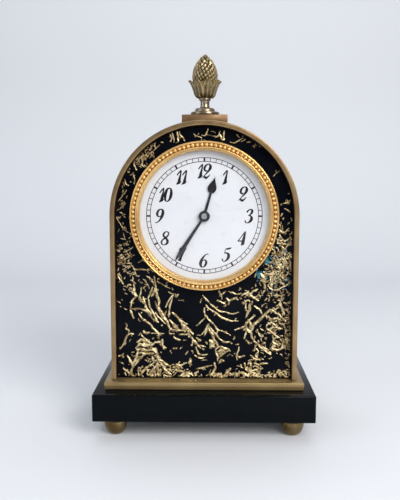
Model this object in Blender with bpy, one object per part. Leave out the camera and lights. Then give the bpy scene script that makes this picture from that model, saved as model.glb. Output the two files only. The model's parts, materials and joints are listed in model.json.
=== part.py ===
"""Arch mantel clock with a quartz movement, as separate pieces in metres.

The front faces -Y, +Z is up, and the origin is on the ground in the middle of the four feet.
"""

import math

import bmesh
import bpy
from mathutils import Matrix, Vector

MM = 0.001
GAP = 0.3 * MM                      # clearance between pieces that rest on each other

# Driving dimensions of the case
PLINTH_WIDTH = 136.0 * MM
PLINTH_DEPTH = 90.0 * MM
PLINTH_HEIGHT = 16.9 * MM
FOOT_HEIGHT = 12.0 * MM
FOOT_RADIUS = 7.4 * MM
FOOT_X = 55.5 * MM
FOOT_Y = 30.0 * MM
PLATE_WIDTH = 123.6 * MM
PLATE_DEPTH = 70.6 * MM
PLATE_HEIGHT = 4.8 * MM
ARCH_RADIUS = 57.65 * MM
ARCH_DEPTH = 63.0 * MM
ARCH_THICKNESS = 3.0 * MM
DIAL_CENTRE_ABOVE_PLATE = 102.5 * MM
PANEL_FRONT = -26.4 * MM
PANEL_THICKNESS = 5.0 * MM
BACK_PANEL_FRONT = 22.0 * MM
BACK_PANEL_THICKNESS = 2.5 * MM

# Levels worked out from them
PLINTH_BOTTOM = FOOT_HEIGHT + GAP
PLINTH_TOP = PLINTH_BOTTOM + PLINTH_HEIGHT
PLATE_BOTTOM = PLINTH_TOP + GAP
PLATE_TOP = PLATE_BOTTOM + PLATE_HEIGHT
ARCH_BOTTOM = PLATE_TOP + GAP
AXIS_Z = PLATE_TOP + DIAL_CENTRE_ABOVE_PLATE
CROWN_Z = AXIS_Z + ARCH_RADIUS
ARCH_INNER = ARCH_RADIUS - ARCH_THICKNESS
PANEL_RADIUS = ARCH_INNER - GAP
PANEL_BACK = PANEL_FRONT + PANEL_THICKNESS
BACK_PANEL_REAR = BACK_PANEL_FRONT + BACK_PANEL_THICKNESS

# Bezel, glass, dial and hands
BEZEL_RADIUS = 45.4 * MM
BEZEL_DEPTH = 8.3 * MM
BEAD_RING_RADIUS = 43.0 * MM        # middle of the groove that the beads stand in
BEZEL_SCREW_RING = 43.2 * MM
BEZEL_INNER = 40.4 * MM
GLASS_RADIUS = 41.2 * MM
GLASS_THICKNESS = 1.4 * MM
GLASS_DOME = 1.6 * MM
DIAL_RADIUS = 41.0 * MM
DIAL_THICKNESS = 0.7 * MM
HOUR_HAND_LENGTH = 24.9 * MM
HOUR_HAND_SPADE = 5.3 * MM          # width across its widest place
HOUR_HAND_TAPER = 7.6 * MM          # from the widest place to the tip
MINUTE_HAND_LENGTH = 32.7 * MM
HAND_THICKNESS = 0.5 * MM
HUB_RADIUS = 3.4 * MM
ARBOR_RADIUS = 1.35 * MM
MINUTES_SHOWN = 35.5                # minutes past twelve
HOUR_HAND_TURN = 15.5               # degrees; pressed onto its pipe a little early

# Movement
CASE_HALF = 28.0 * MM
CASE_WALL = 1.4 * MM
CASE_FRONT = -20.0 * MM
CASE_REAR = -3.5 * MM
BUSH_RADIUS = 4.0 * MM
BATTERY_RADIUS = 7.15 * MM
BATTERY_Z = AXIS_Z - 18.6 * MM
DIVIDER_Z = AXIS_Z - 10.8 * MM      # top of the battery bay
MESH_PLAY = 0.04 * MM               # extra centre distance of each gear pair

# Fixings
SCREW_BORE = 1.7 * MM
CASE_SCREW_HEAD = 3.1 * MM
CASE_SCREW_SHANK = 1.4 * MM
POST_RADIUS = 3.0 * MM
POST_SCREW_HEAD = 2.8 * MM
POST_SCREW_SHANK = 1.35 * MM
ROD_RADIUS = 1.5 * MM               # rod that holds the finial
ROD_BORE = 1.8 * MM
PAST = 1.0 * MM                     # how far a cutter runs past the face that it cuts

# Rear door
DOOR_HALF_WIDTH = 37.0 * MM
DOOR_LOW = 92.0 * MM
DOOR_HIGH = 164.0 * MM
DOOR_LAP = 4.0 * MM
DOOR_THICKNESS = 2.2 * MM
DOOR_PIVOT = Vector((40.0 * MM, 26.6 * MM, 128.0 * MM))

for old in list(bpy.data.objects):
    bpy.data.objects.remove(old, do_unlink=True)


# ---------------------------------------------------------------- materials

def make_material(name, colour, roughness, metallic):
    material = bpy.data.materials.new(name)
    material.use_nodes = True
    shader = material.node_tree.nodes["Principled BSDF"]
    shader.inputs["Base Color"].default_value = (*colour, 1.0)
    shader.inputs["Roughness"].default_value = roughness
    shader.inputs["Metallic"].default_value = metallic
    return material


FINISHES = {
    "black_stone": ((0.008, 0.008, 0.009), 0.12, 0.0),
    "case_brass": ((0.36, 0.24, 0.12), 0.32, 1.0),
    "gilt": ((0.85, 0.58, 0.22), 0.18, 1.0),
    "cast_brass": ((0.40, 0.32, 0.19), 0.35, 1.0),
    "resin": ((0.006, 0.008, 0.009), 0.08, 0.0),
    "clear_glass": ((0.95, 0.97, 0.97), 0.02, 0.0),
    "dial_white": ((0.88, 0.89, 0.90), 0.35, 0.0),
    "hand_black": ((0.01, 0.01, 0.012), 0.25, 0.0),
    "steel": ((0.62, 0.62, 0.63), 0.28, 1.0),
    "black_plastic": ((0.03, 0.03, 0.032), 0.45, 0.0),
    "white_plastic": ((0.80, 0.80, 0.77), 0.40, 0.0),
    "rubber": ((0.02, 0.02, 0.02), 0.80, 0.0),
    "green_board": ((0.02, 0.20, 0.08), 0.40, 0.0),
    "copper": ((0.72, 0.30, 0.14), 0.30, 1.0),
    "cell_jacket": ((0.25, 0.27, 0.30), 0.30, 0.6),
}


# ---------------------------------------------------------------- mesh helpers

def prism(outline, low, high):
    """Closed body: an outline of (x, z) points, run along Y from low to high."""
    mesh = bmesh.new()
    face = mesh.faces.new([mesh.verts.new((x, low, z)) for x, z in outline])
    grown = bmesh.ops.extrude_face_region(mesh, geom=[face])["geom"]
    far_end = [item for item in grown if isinstance(item, bmesh.types.BMVert)]
    bmesh.ops.translate(mesh, verts=far_end, vec=(0, high - low, 0))
    bmesh.ops.recalc_face_normals(mesh, faces=mesh.faces)
    return mesh


def box(low, high):
    """Closed box between two corners."""
    outline = [(low[0], low[2]), (high[0], low[2]), (high[0], high[2]), (low[0], high[2])]
    return prism(outline, low[1], high[1])


def turned(profile, segments, axis="Z", closed=False):
    """Closed body of revolution from (radius, height) points; a closed profile makes a ring."""
    mesh = bmesh.new()
    place = (lambda r, h: (r, 0, h)) if axis == "Z" else (lambda r, h: (r, h, 0))
    verts = [mesh.verts.new(place(r, h)) for r, h in profile]
    edges = [mesh.edges.new(pair) for pair in zip(verts, verts[1:])]
    if closed:
        edges.append(mesh.edges.new((verts[-1], verts[0])))
    direction = (0, 0, 1) if axis == "Z" else (0, 1, 0)
    bmesh.ops.spin(mesh, geom=verts + edges, cent=(0, 0, 0), axis=direction,
                   angle=2 * math.pi, steps=segments, use_merge=True)
    bmesh.ops.remove_doubles(mesh, verts=mesh.verts, dist=1e-7)
    bmesh.ops.recalc_face_normals(mesh, faces=mesh.faces)
    return mesh


def circle(radius, segments):
    """Regular outline of (x, z) points round the axis."""
    angles = [2 * math.pi * step / segments for step in range(segments)]
    return [(radius * math.cos(angle), radius * math.sin(angle)) for angle in angles]


def rod(radius, low, high, segments=12, axis="Y", at=(0, 0, 0)):
    """Closed cylinder along one axis, between two heights, shifted to a place."""
    body = prism(circle(radius, segments), low, high)
    turns = {"X": ("Z", -90), "Y": ("Y", 0), "Z": ("X", 90)}
    about, degrees = turns[axis]
    bmesh.ops.rotate(body, verts=body.verts,
                     matrix=Matrix.Rotation(math.radians(degrees), 3, about))
    bmesh.ops.translate(body, verts=body.verts, vec=at)
    return body


def moved(body, offset):
    """The same body, shifted."""
    bmesh.ops.translate(body, verts=body.verts, vec=offset)
    return body


def as_object(name, body):
    mesh = bpy.data.meshes.new(name)
    body.to_mesh(mesh)
    body.free()
    made = bpy.data.objects.new(name, mesh)
    bpy.context.scene.collection.objects.link(made)
    return made


def piece(name, finish, bodies, cuts=(), origin=(0, 0, 0), bevel=0.0):
    """One named piece: bodies joined, cuts taken away, with its own material and origin."""
    made = as_object(name, bodies[0])
    helpers = []
    for kind, extra in [("UNION", b) for b in bodies[1:]] + [("DIFFERENCE", c) for c in cuts]:
        helper = as_object(name + "_helper", extra)
        helpers.append(helper)
        boolean = made.modifiers.new(kind.title(), "BOOLEAN")
        boolean.operation = kind
        boolean.solver = "EXACT"
        boolean.object = helper
    if bevel:
        edge = made.modifiers.new("Edge", "BEVEL")
        edge.width = bevel
        edge.segments = 1
        edge.limit_method = "ANGLE"
        edge.angle_limit = math.radians(50)
    bpy.context.view_layer.update()
    graph = bpy.context.evaluated_depsgraph_get()
    finished = bmesh.new()
    finished.from_mesh(made.evaluated_get(graph).data)
    bmesh.ops.remove_doubles(finished, verts=finished.verts, dist=2e-6)
    bmesh.ops.dissolve_degenerate(finished, edges=finished.edges, dist=1e-7)
    made.modifiers.clear()
    finished.to_mesh(made.data)
    finished.free()
    for helper in helpers:
        bpy.data.objects.remove(helper, do_unlink=True)
    made.data.name = name
    made.data.materials.clear()
    made.data.materials.append(make_material(name, *FINISHES[finish]))
    made.data.shade_smooth()
    made.data.set_sharp_from_angle(angle=math.radians(35))
    made.location = origin
    return made


def arch_outline(radius, bottom, segments=40):
    """Straight sides with a half-round top, as (x, z) points."""
    points = [(-radius, bottom)]
    for step in range(segments + 1):
        angle = math.pi - math.pi * step / segments
        points.append((radius * math.cos(angle), AXIS_Z + radius * math.sin(angle)))
    points.append((radius, bottom))
    return points


def gear_outline(teeth, module, phase):
    """Straight-flanked teeth round the axis; phase is the angle of a tooth's middle."""
    pitch = 2 * math.pi / teeth
    root = module * (teeth / 2 - 1.15)
    tip = module * (teeth / 2 + 0.85)
    points = []
    for tooth in range(teeth):
        middle = phase + tooth * pitch
        for radius, part in ((root, -0.26), (tip, -0.08), (tip, 0.08), (root, 0.26)):
            angle = middle + part * pitch
            points.append((radius * math.cos(angle), radius * math.sin(angle)))
    return points


def meshing_phase(phase, teeth, other_teeth, bearing):
    """Phase of a gear whose gap meets this gear's tooth on the line between their axes."""
    pitches = (bearing - phase) * teeth / (2 * math.pi)
    return bearing + math.pi + (pitches + 0.5) * 2 * math.pi / other_teeth


def beside(place, distance, bearing):
    """The (x, z) place at a distance and bearing from another."""
    return (place[0] + distance * math.cos(bearing), place[1] + distance * math.sin(bearing))


# ---------------------------------------------------------------- plinth, feet, base plate, arch

STUD_RADIUS = 2.5 * MM
STUD_TOP = PLINTH_BOTTOM + 7 * MM
FOOT_WIDEST = 0.68                  # height of the widest place, as a share of the foot's height
FOOT_FLAT = 0.36                    # radius of the flat underneath, as a share of the foot's


def make_feet():
    """Bowl-shaped feet, each with a stud that goes up into the plinth."""
    r, tall = FOOT_RADIUS, FOOT_HEIGHT
    profile = [(0, 0), (FOOT_FLAT * r, 0)]
    for degrees in (25, 50, 70, 90):
        angle = math.radians(degrees)
        profile.append(((FOOT_FLAT + (1 - FOOT_FLAT) * math.sin(angle)) * r,
                        FOOT_WIDEST * (1 - math.cos(angle)) * tall))
    profile += [(0.92 * r, 0.84 * tall), (0.74 * r, 0.91 * tall), (0.74 * r, tall),
                (STUD_RADIUS, tall), (STUD_RADIUS, STUD_TOP), (0, STUD_TOP)]
    for front_name, y in (("front", -FOOT_Y), ("rear", FOOT_Y)):
        for side_name, x in (("left", -FOOT_X), ("right", FOOT_X)):
            piece(f"foot_{front_name}_{side_name}", "case_brass", [turned(profile, 14)],
                  origin=(x, y, 0))


def make_plinth_and_plate():
    slab = box((-PLINTH_WIDTH / 2, -PLINTH_DEPTH / 2, PLINTH_BOTTOM),
               (PLINTH_WIDTH / 2, PLINTH_DEPTH / 2, PLINTH_TOP))
    bmesh.ops.bevel(slab, geom=slab.edges, offset=0.8 * MM, segments=1, affect="EDGES")
    cuts = [rod(STUD_RADIUS + GAP, PLINTH_BOTTOM - PAST, STUD_TOP + GAP, 10, "Z", (x, y, 0))
            for x in (-FOOT_X, FOOT_X) for y in (-FOOT_Y, FOOT_Y)]
    sunk_head = CASE_SCREW_HEAD + 0.4 * MM
    for x in (-BLOCK_X, BLOCK_X):
        cuts.append(rod(SCREW_BORE, PLINTH_BOTTOM - PAST, PLINTH_TOP + PAST, 8, "Z", (x, 0, 0)))
        cuts.append(rod(sunk_head, PLINTH_BOTTOM - PAST, PLINTH_BOTTOM + 3 * MM, 10, "Z",
                        (x, 0, 0)))
    piece("plinth", "black_stone", [slab], cuts)

    plate = box((-PLATE_WIDTH / 2, -PLATE_DEPTH / 2, PLATE_BOTTOM),
                (PLATE_WIDTH / 2, PLATE_DEPTH / 2, PLATE_TOP))
    bmesh.ops.bevel(plate, geom=plate.edges, offset=0.7 * MM, segments=1, affect="EDGES")
    holes = [rod(SCREW_BORE, PLATE_BOTTOM - PAST, PLATE_TOP + PAST, 8, "Z", (x, 0, 0))
             for x in (-BLOCK_X, BLOCK_X)]
    piece("base_plate", "case_brass", [plate], holes)


def make_arch():
    outer = arch_outline(ARCH_RADIUS, ARCH_BOTTOM)
    inner = arch_outline(ARCH_INNER, ARCH_BOTTOM)
    band = prism(outer + inner[::-1], -ARCH_DEPTH / 2, ARCH_DEPTH / 2)
    piece("arch_band", "case_brass", [band],
          [rod(ROD_BORE, CROWN_Z - ARCH_THICKNESS - PAST, CROWN_Z + PAST, 8, "Z")])


# ---------------------------------------------------------------- case fixings

BLOCK_HALF = 4.0 * MM
BLOCK_X = ARCH_INNER - GAP - BLOCK_HALF
BLOCK_TOP = ARCH_BOTTOM + 10 * MM
POSTS = (("left", -46 * MM, 50 * MM), ("right", 46 * MM, 50 * MM), ("top", 0.0, 180 * MM))


def screw(name, head_radius, head_low, head_high, shank_radius, tip, axis, at):
    """Cheese-head screw along an axis, with a slot across its head; the tip may lie either way."""
    outward = head_low if abs(head_low - tip) > abs(head_high - tip) else head_high
    depth = 0.45 * (head_high - head_low)
    low, high = min(outward, tip), max(outward, tip)
    head = rod(head_radius, head_low, head_high, 10, axis, at)
    shank_low = low if low == tip else head_low + depth
    shank_high = high if high == tip else head_high - depth
    shank = rod(shank_radius, shank_low, shank_high, 6, axis, at)
    slot_low, slot_high = sorted((outward, outward + math.copysign(depth, tip - outward)))
    slot_low -= MM * (outward == head_low)
    slot_high += MM * (outward == head_high)
    half = 0.16 * head_radius
    if axis == "Z":
        corners = ((-2 * head_radius, -half, slot_low), (2 * head_radius, half, slot_high))
    else:
        corners = ((-2 * head_radius, slot_low, -half), (2 * head_radius, slot_high, half))
    piece(name, "steel", [head, shank], [moved(box(*corners), at)])


def make_corner_blocks():
    for side, x in (("left", -BLOCK_X), ("right", BLOCK_X)):
        block = box((x - BLOCK_HALF, -15 * MM, ARCH_BOTTOM), (x + BLOCK_HALF, 15 * MM, BLOCK_TOP))
        bore = rod(SCREW_BORE, ARCH_BOTTOM - PAST, BLOCK_TOP - 2 * MM, 8, "Z", (x, 0, 0))
        piece(f"corner_block_{side}", "case_brass", [block], [bore])
        screw(f"case_screw_{side}", CASE_SCREW_HEAD, PLINTH_BOTTOM + 0.6 * MM,
              PLINTH_BOTTOM + 2.6 * MM, CASE_SCREW_SHANK, BLOCK_TOP - 2.5 * MM, "Z", (x, 0, 0))


def make_posts():
    """Posts between the front panel and the back panel, each with its screw from behind."""
    low, high = PANEL_BACK + GAP, BACK_PANEL_FRONT - GAP
    for name, x, z in POSTS:
        piece(f"post_{name}", "steel", [rod(POST_RADIUS, low, high, 10, "Y", (x, 0, z))],
              [rod(SCREW_BORE, high - 9 * MM, high + PAST, 8, "Y", (x, 0, z))])
        screw(f"post_screw_{name}", POST_SCREW_HEAD, BACK_PANEL_REAR + GAP,
              BACK_PANEL_REAR + GAP + 1.6 * MM, POST_SCREW_SHANK, high - 8 * MM, "Y", (x, 0, z))


# ---------------------------------------------------------------- finial

FINIAL_BLOCK_HALF = 14.25 * MM
FINIAL_BLOCK_TOP = CROWN_Z + 4.6 * MM
FINIAL_HEIGHT = 38.9 * MM
FINIAL_TIP = FINIAL_BLOCK_TOP + FINIAL_HEIGHT
CONE_RADIUS = 7.7 * MM
CONE_SHOULDER = 14.0 * MM           # from the tip down to the widest place


def cone_radius(drop, height):
    """Radius of the cone at a distance below its tip: pointed above, drawn in below."""
    if drop < CONE_SHOULDER:
        return CONE_RADIUS * (1 - (1 - drop / CONE_SHOULDER) ** 2.1)
    share = (drop - CONE_SHOULDER) / (height - CONE_SHOULDER)
    return CONE_RADIUS * (1 - 0.6 * share ** 2.2)


def make_finial():
    half = FINIAL_BLOCK_HALF
    block = box((-half, -half, CROWN_Z - 6 * MM), (half, half, FINIAL_BLOCK_TOP))
    saddle = prism(arch_outline(ARCH_RADIUS + GAP, ARCH_BOTTOM, 80), -20 * MM, 20 * MM)
    bore = rod(ROD_BORE, CROWN_Z - 8 * MM, FINIAL_BLOCK_TOP + PAST, 8, "Z")
    piece("finial_block", "case_brass", [block], [saddle, bore])

    base = FINIAL_BLOCK_TOP + GAP
    foot = [(1.8, 0), (8.9, 0), (9.3, 0.6), (9.3, 1.6), (8.6, 2.7), (6.6, 2.9), (6.45, 4.0),
            (5.4, 4.8), (3.3, 5.0), (2.85, 6.5), (2.95, 9.2), (3.7, 9.7), (3.7, 11.2),
            (1.8, 11.2)]
    profile = [(r * MM, base + h * MM) for r, h in foot]
    piece("finial_foot", "cast_brass", [turned(profile, 16, closed=True)])

    low = base + 11.2 * MM + GAP
    cup = [(1.8, 0), (4.4, 0), (5.7, 1.3), (7.0, 4.8), (8.6, 8.4), (10.2, 10.1), (9.4, 10.4),
           (8.0, 8.4), (6.5, 4.8), (4.9, 1.9), (1.8, 1.5)]
    profile = [(r * MM, low + h * MM) for r, h in cup]
    piece("finial_calyx", "cast_brass", [turned(profile, 20, closed=True)])

    cone_low = low + 1.5 * MM + GAP
    cone_height = FINIAL_TIP - cone_low
    profile = [(0, cone_low)]
    for share in (1.0, 0.88, 0.74, 0.55, 0.38, 0.25, 0.14, 0.06):
        drop = share * cone_height
        profile.append((cone_radius(drop, cone_height), FINIAL_TIP - drop))
    profile.append((0, FINIAL_TIP))
    piece("finial_cone", "cast_brass", [turned(profile, 16)],
          [rod(ROD_BORE, cone_low - PAST, cone_low + 9 * MM, 8, "Z")])

    nut_top = CROWN_Z - ARCH_THICKNESS - 1.2 * MM
    piece("finial_rod", "steel", [rod(ROD_RADIUS, nut_top - 5 * MM, cone_low + 8 * MM, 10, "Z")])
    nut = rod(3.2 * MM, nut_top - 2.6 * MM, nut_top, 6, "Z")
    piece("finial_nut", "steel", [nut], [rod(1.75 * MM, nut_top - 4 * MM, nut_top + PAST, 10, "Z")])


# ---------------------------------------------------------------- panels and rear door

def make_panels():
    panel = prism(arch_outline(PANEL_RADIUS, ARCH_BOTTOM, 36), PANEL_FRONT, PANEL_BACK)
    cuts = [rod(8.0 * MM, PANEL_FRONT - PAST, PANEL_FRONT + 2.6 * MM, 16, "Y", (0, 0, AXIS_Z)),
            rod(4.4 * MM, PANEL_FRONT - 2 * MM, PANEL_BACK + PAST, 12, "Y", (0, 0, AXIS_Z))]
    for x, z in bezel_screw_places():
        cuts.append(rod(1.3 * MM, PANEL_FRONT - PAST, PANEL_BACK + PAST, 8, "Y", (x, 0, z)))
    piece("front_panel", "resin", [panel], cuts)

    rear = prism(arch_outline(PANEL_RADIUS, ARCH_BOTTOM, 36), BACK_PANEL_FRONT, BACK_PANEL_REAR)
    half = DOOR_HALF_WIDTH - DOOR_LAP
    cuts = [box((-half, BACK_PANEL_FRONT - PAST, DOOR_LOW + DOOR_LAP),
                (half, BACK_PANEL_REAR + PAST, DOOR_HIGH - DOOR_LAP))]
    for _, x, z in POSTS:
        cuts.append(rod(SCREW_BORE, BACK_PANEL_FRONT - PAST, BACK_PANEL_REAR + PAST, 8, "Y",
                        (x, 0, z)))
    piece("back_panel", "black_plastic", [rear], cuts)


def make_door():
    pivot = DOOR_PIVOT
    low, high = BACK_PANEL_REAR + GAP, BACK_PANEL_REAR + GAP + DOOR_THICKNESS
    door = box((-DOOR_HALF_WIDTH - pivot.x, low - pivot.y, DOOR_LOW - pivot.z),
               (DOOR_HALF_WIDTH - pivot.x, high - pivot.y, DOOR_HIGH - pivot.z))
    piece("rear_door", "black_plastic", [door], origin=pivot, bevel=0.4 * MM)

    pull_x = -DOOR_HALF_WIDTH + 7 * MM - pivot.x
    base = high + GAP - pivot.y
    profile = [(0, base), (2.2 * MM, base), (1.6 * MM, base + 1.2 * MM),
               (3.2 * MM, base + 2.4 * MM), (3.2 * MM, base + 3.2 * MM), (0, base + 3.6 * MM)]
    piece("door_pull", "case_brass", [moved(turned(profile, 14, "Y"), (pull_x, 0, 0))],
          origin=pivot)

    knuckle, bore = 1.5 * MM, 0.8 * MM
    reach = 16 * MM
    ends = [(-reach, -reach / 3 - GAP / 2), (reach / 3 + GAP / 2, reach)]
    bodies = [box((0.9 * MM, BACK_PANEL_REAR + GAP - pivot.y, -reach),
                  (8 * MM, BACK_PANEL_REAR + GAP + 0.8 * MM - pivot.y, reach))]
    bodies += [rod(knuckle, a, b, 10, "Z") for a, b in ends]
    space = box((-3 * MM, -3 * MM, -reach / 3 - GAP / 2), (1.9 * MM, 3 * MM, reach / 3 + GAP / 2))
    piece("hinge_leaf_fixed", "case_brass", bodies,
          [space, rod(bore, -reach - PAST, reach + PAST, 8, "Z")], origin=pivot)

    leaf = box((-12 * MM, high + GAP - pivot.y, -reach),
               (-0.5 * MM, high + GAP + 0.8 * MM - pivot.y, reach))
    middle = rod(knuckle, -reach / 3 + GAP / 2, reach / 3 - GAP / 2, 10, "Z")
    space_low = box((-2.0 * MM, -3 * MM, -reach - PAST), (3 * MM, 3 * MM, -reach / 3 + GAP / 2))
    space_high = box((-2.0 * MM, -3 * MM, reach / 3 - GAP / 2), (3 * MM, 3 * MM, reach + PAST))
    piece("hinge_leaf_moving", "case_brass", [leaf, middle],
          [space_low, space_high, rod(bore, -reach - PAST, reach + PAST, 8, "Z")], origin=pivot)
    pin = [rod(0.6 * MM, -reach - 0.5 * MM, reach + 0.4 * MM, 8, "Z"),
           rod(1.1 * MM, reach + 0.3 * MM, reach + MM, 10, "Z")]
    piece("hinge_pin", "steel", pin, origin=pivot)


# ---------------------------------------------------------------- bezel, glass, dial

BEZEL_BACK = PANEL_FRONT - GAP
BEZEL_FRONT = BEZEL_BACK - BEZEL_DEPTH
DIAL_BACK = BEZEL_BACK
DIAL_FRONT = DIAL_BACK - DIAL_THICKNESS
GLASS_FRONT = BEZEL_FRONT + 2.4 * MM      # at the rim


def bezel_screw_places():
    """Three (x, z) places round the bezel ring."""
    return [beside((0, AXIS_Z), BEZEL_SCREW_RING, math.radians(30 + 120 * step))
            for step in range(3)]


def make_bezel():
    inner_seat = GLASS_RADIUS + GAP
    profile = [
        (BEZEL_RADIUS, BEZEL_BACK), (BEZEL_RADIUS, BEZEL_FRONT + 3.0 * MM),
        (BEZEL_RADIUS - 0.5 * MM, BEZEL_FRONT + 1.0 * MM),
        (BEAD_RING_RADIUS + 1.3 * MM, BEZEL_FRONT + 0.5 * MM),
        (BEAD_RING_RADIUS + 1.0 * MM, BEZEL_FRONT + 1.3 * MM),
        (BEAD_RING_RADIUS - 1.0 * MM, BEZEL_FRONT + 1.3 * MM),
        (BEAD_RING_RADIUS - 1.3 * MM, BEZEL_FRONT + 0.1 * MM),
        (BEAD_RING_RADIUS - 1.8 * MM, BEZEL_FRONT),
        (BEZEL_INNER, GLASS_FRONT - GAP - 0.9 * MM), (BEZEL_INNER, GLASS_FRONT - GAP),
        (inner_seat, GLASS_FRONT - GAP), (inner_seat, BEZEL_BACK)]
    places = bezel_screw_places()
    bores = [rod(1.1 * MM, BEZEL_BACK - 3 * MM, BEZEL_BACK + PAST, 8, "Y", (x, 0, z - AXIS_Z))
             for x, z in places]
    piece("bezel", "gilt", [turned(profile, 48, "Y", closed=True)], bores, origin=(0, 0, AXIS_Z))
    for number, (x, z) in enumerate(places, 1):
        screw(f"bezel_screw_{number}", 1.9 * MM, PANEL_BACK + GAP, PANEL_BACK + GAP + MM,
              0.9 * MM, BEZEL_BACK - 2.6 * MM, "Y", (x, 0, z))


def make_glass():
    """Slightly domed crystal, and the ring that holds it from behind."""
    front, back = [], []
    steps = 3
    for step in range(steps + 1):
        share = step / steps
        rise = GLASS_DOME * (1 - share * share)
        front.append((GLASS_RADIUS * share, GLASS_FRONT - rise))
        back.append((GLASS_RADIUS * share, GLASS_FRONT + GLASS_THICKNESS - rise))
    piece("glass", "clear_glass", [turned(front + back[::-1], 32, "Y")], origin=(0, 0, AXIS_Z))

    low, high = GLASS_FRONT + GLASS_THICKNESS + GAP, DIAL_FRONT - GAP
    outer, inner = GLASS_RADIUS - 0.1 * MM, 39.5 * MM
    profile = [(outer, high), (outer, low), (inner + 0.6 * MM, low), (inner, high)]
    piece("glass_ring", "gilt", [turned(profile, 40, "Y", closed=True)], origin=(0, 0, AXIS_Z))


def make_dial():
    profile = [(2.7 * MM, DIAL_BACK), (DIAL_RADIUS, DIAL_BACK), (DIAL_RADIUS, DIAL_FRONT),
               (2.7 * MM, DIAL_FRONT)]
    piece("dial", "dial_white", [turned(profile, 40, "Y", closed=True)], origin=(0, 0, AXIS_Z))


# ---------------------------------------------------------------- hands

PIPE_RADIUS = 2.3 * MM
PIPE_BORE = 1.65 * MM
HAND_FIT = 0.15 * MM                 # play between a hand and its shaft
HOUR_HAND_BACK = DIAL_FRONT - 0.8 * MM
MINUTE_HAND_BACK = HOUR_HAND_BACK - HAND_THICKNESS - 0.8 * MM


def clockwise(outline, degrees):
    """An outline drawn pointing up, turned clockwise as seen from the front."""
    angle = -math.radians(degrees)
    return [(x * math.cos(angle) - z * math.sin(angle), x * math.sin(angle) + z * math.cos(angle))
            for x, z in outline]


def both_sides(half_widths):
    """Closed outline from (half width, distance from the axis) points of the right side."""
    right = [(w, z) for w, z in half_widths]
    left = [(-w, z) for w, z in reversed(half_widths) if w > 0]
    return right + left


def hand(name, side, hub_radius, bore, back, degrees):
    front = back - HAND_THICKNESS
    blade = prism(clockwise(both_sides(side), degrees), front, back)
    hub = rod(hub_radius, front, back, 16)
    piece(name, "hand_black", [blade, hub], [rod(bore, front - PAST, back + PAST, 12)],
          origin=(0, 0, AXIS_Z))


def make_hands():
    neck, spade, belly = 0.65 * MM, HOUR_HAND_SPADE / 2, 3.0 * MM
    widest = HOUR_HAND_LENGTH - HOUR_HAND_TAPER
    side = [(0.80 * MM, HUB_RADIUS - MM), (neck, widest - belly)]
    for degrees in (30, 60, 90):
        angle = math.radians(degrees)
        side.append((neck + (spade - neck) * math.sin(angle), widest - belly * math.cos(angle)))
    for share in (0.15, 0.30, 0.45, 0.60, 0.80):
        half = spade * (1 + math.cos(math.pi * share ** 0.9)) / 2
        side.append((half, widest + share * HOUR_HAND_TAPER))
    side.append((0, HOUR_HAND_LENGTH))
    hand("hour_hand", side, HUB_RADIUS - 0.2 * MM, PIPE_RADIUS + HAND_FIT, HOUR_HAND_BACK,
         HOUR_HAND_TURN)

    side = [(0.55 * MM, 2.5 * MM)]
    for step in range(1, 7):
        share = step / 6
        width = 0.55 + 0.75 * math.sin(math.pi * min(1.0, share ** 1.6))
        side.append((width * MM * (1 if share < 0.95 else 0.3),
                     (3.0 + 28.0 * share) * MM))
    side.append((0, MINUTE_HAND_LENGTH))
    hand("minute_hand", side, HUB_RADIUS, ARBOR_RADIUS + HAND_FIT, MINUTE_HAND_BACK,
         MINUTES_SHOWN * 6)


# ---------------------------------------------------------------- movement: gear train

CASE_INSIDE_FRONT = CASE_FRONT + CASE_WALL
COVER_FRONT = CASE_REAR - CASE_WALL
SOCKET = 1.0 * MM                      # depth of the arbors' bearing sockets
ARBOR_END_FRONT = CASE_INSIDE_FRONT - 0.7 * MM
ARBOR_END_REAR = COVER_FRONT + 0.7 * MM

HOUR_LEVEL = (CASE_INSIDE_FRONT + 0.3 * MM, CASE_INSIDE_FRONT + 1.3 * MM)
MOTION_LEVEL = (CASE_INSIDE_FRONT + 1.7 * MM, CASE_INSIDE_FRONT + 2.7 * MM)
CENTRE_LEVEL = (CASE_INSIDE_FRONT + 3.2 * MM, CASE_INSIDE_FRONT + 4.0 * MM)
THIRD_LEVEL = (CASE_INSIDE_FRONT + 4.8 * MM, CASE_INSIDE_FRONT + 5.6 * MM)
INTERMEDIATE_LEVEL = (CASE_INSIDE_FRONT + 6.4 * MM, CASE_INSIDE_FRONT + 7.2 * MM)
ROTOR_LEVEL = (CASE_INSIDE_FRONT + 8.2 * MM, CASE_INSIDE_FRONT + 11.2 * MM)
STATOR_LEVEL = (CASE_INSIDE_FRONT + 9.3 * MM, CASE_INSIDE_FRONT + 10.1 * MM)

# Teeth of each pair, wheel before pinion, and their modules
MOTION_TEETH, MINUTE_PINION, HOUR_TEETH, CANNON, SETTING = 30, 8, 32, 10, 12
CENTRE_TEETH, THIRD_PINION = 48, 8
THIRD_TEETH, INTERMEDIATE_PINION = 40, 8
INTERMEDIATE_TEETH, ROTOR_PINION = 48, 8
MOTION_MODULE, CENTRE_MODULE = 0.45 * MM, 0.32 * MM
THIRD_MODULE, INTERMEDIATE_MODULE = 0.36 * MM, 0.30 * MM


def pair_distance(module, teeth, other_teeth):
    return module * (teeth + other_teeth) / 2 + MESH_PLAY


MINUTE_WHEEL_BEARING = math.radians(180)
SETTING_BEARING = math.radians(150)
THIRD_BEARING = math.radians(20)
INTERMEDIATE_BEARING = math.radians(95)
ROTOR_BEARING = math.radians(170)

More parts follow.
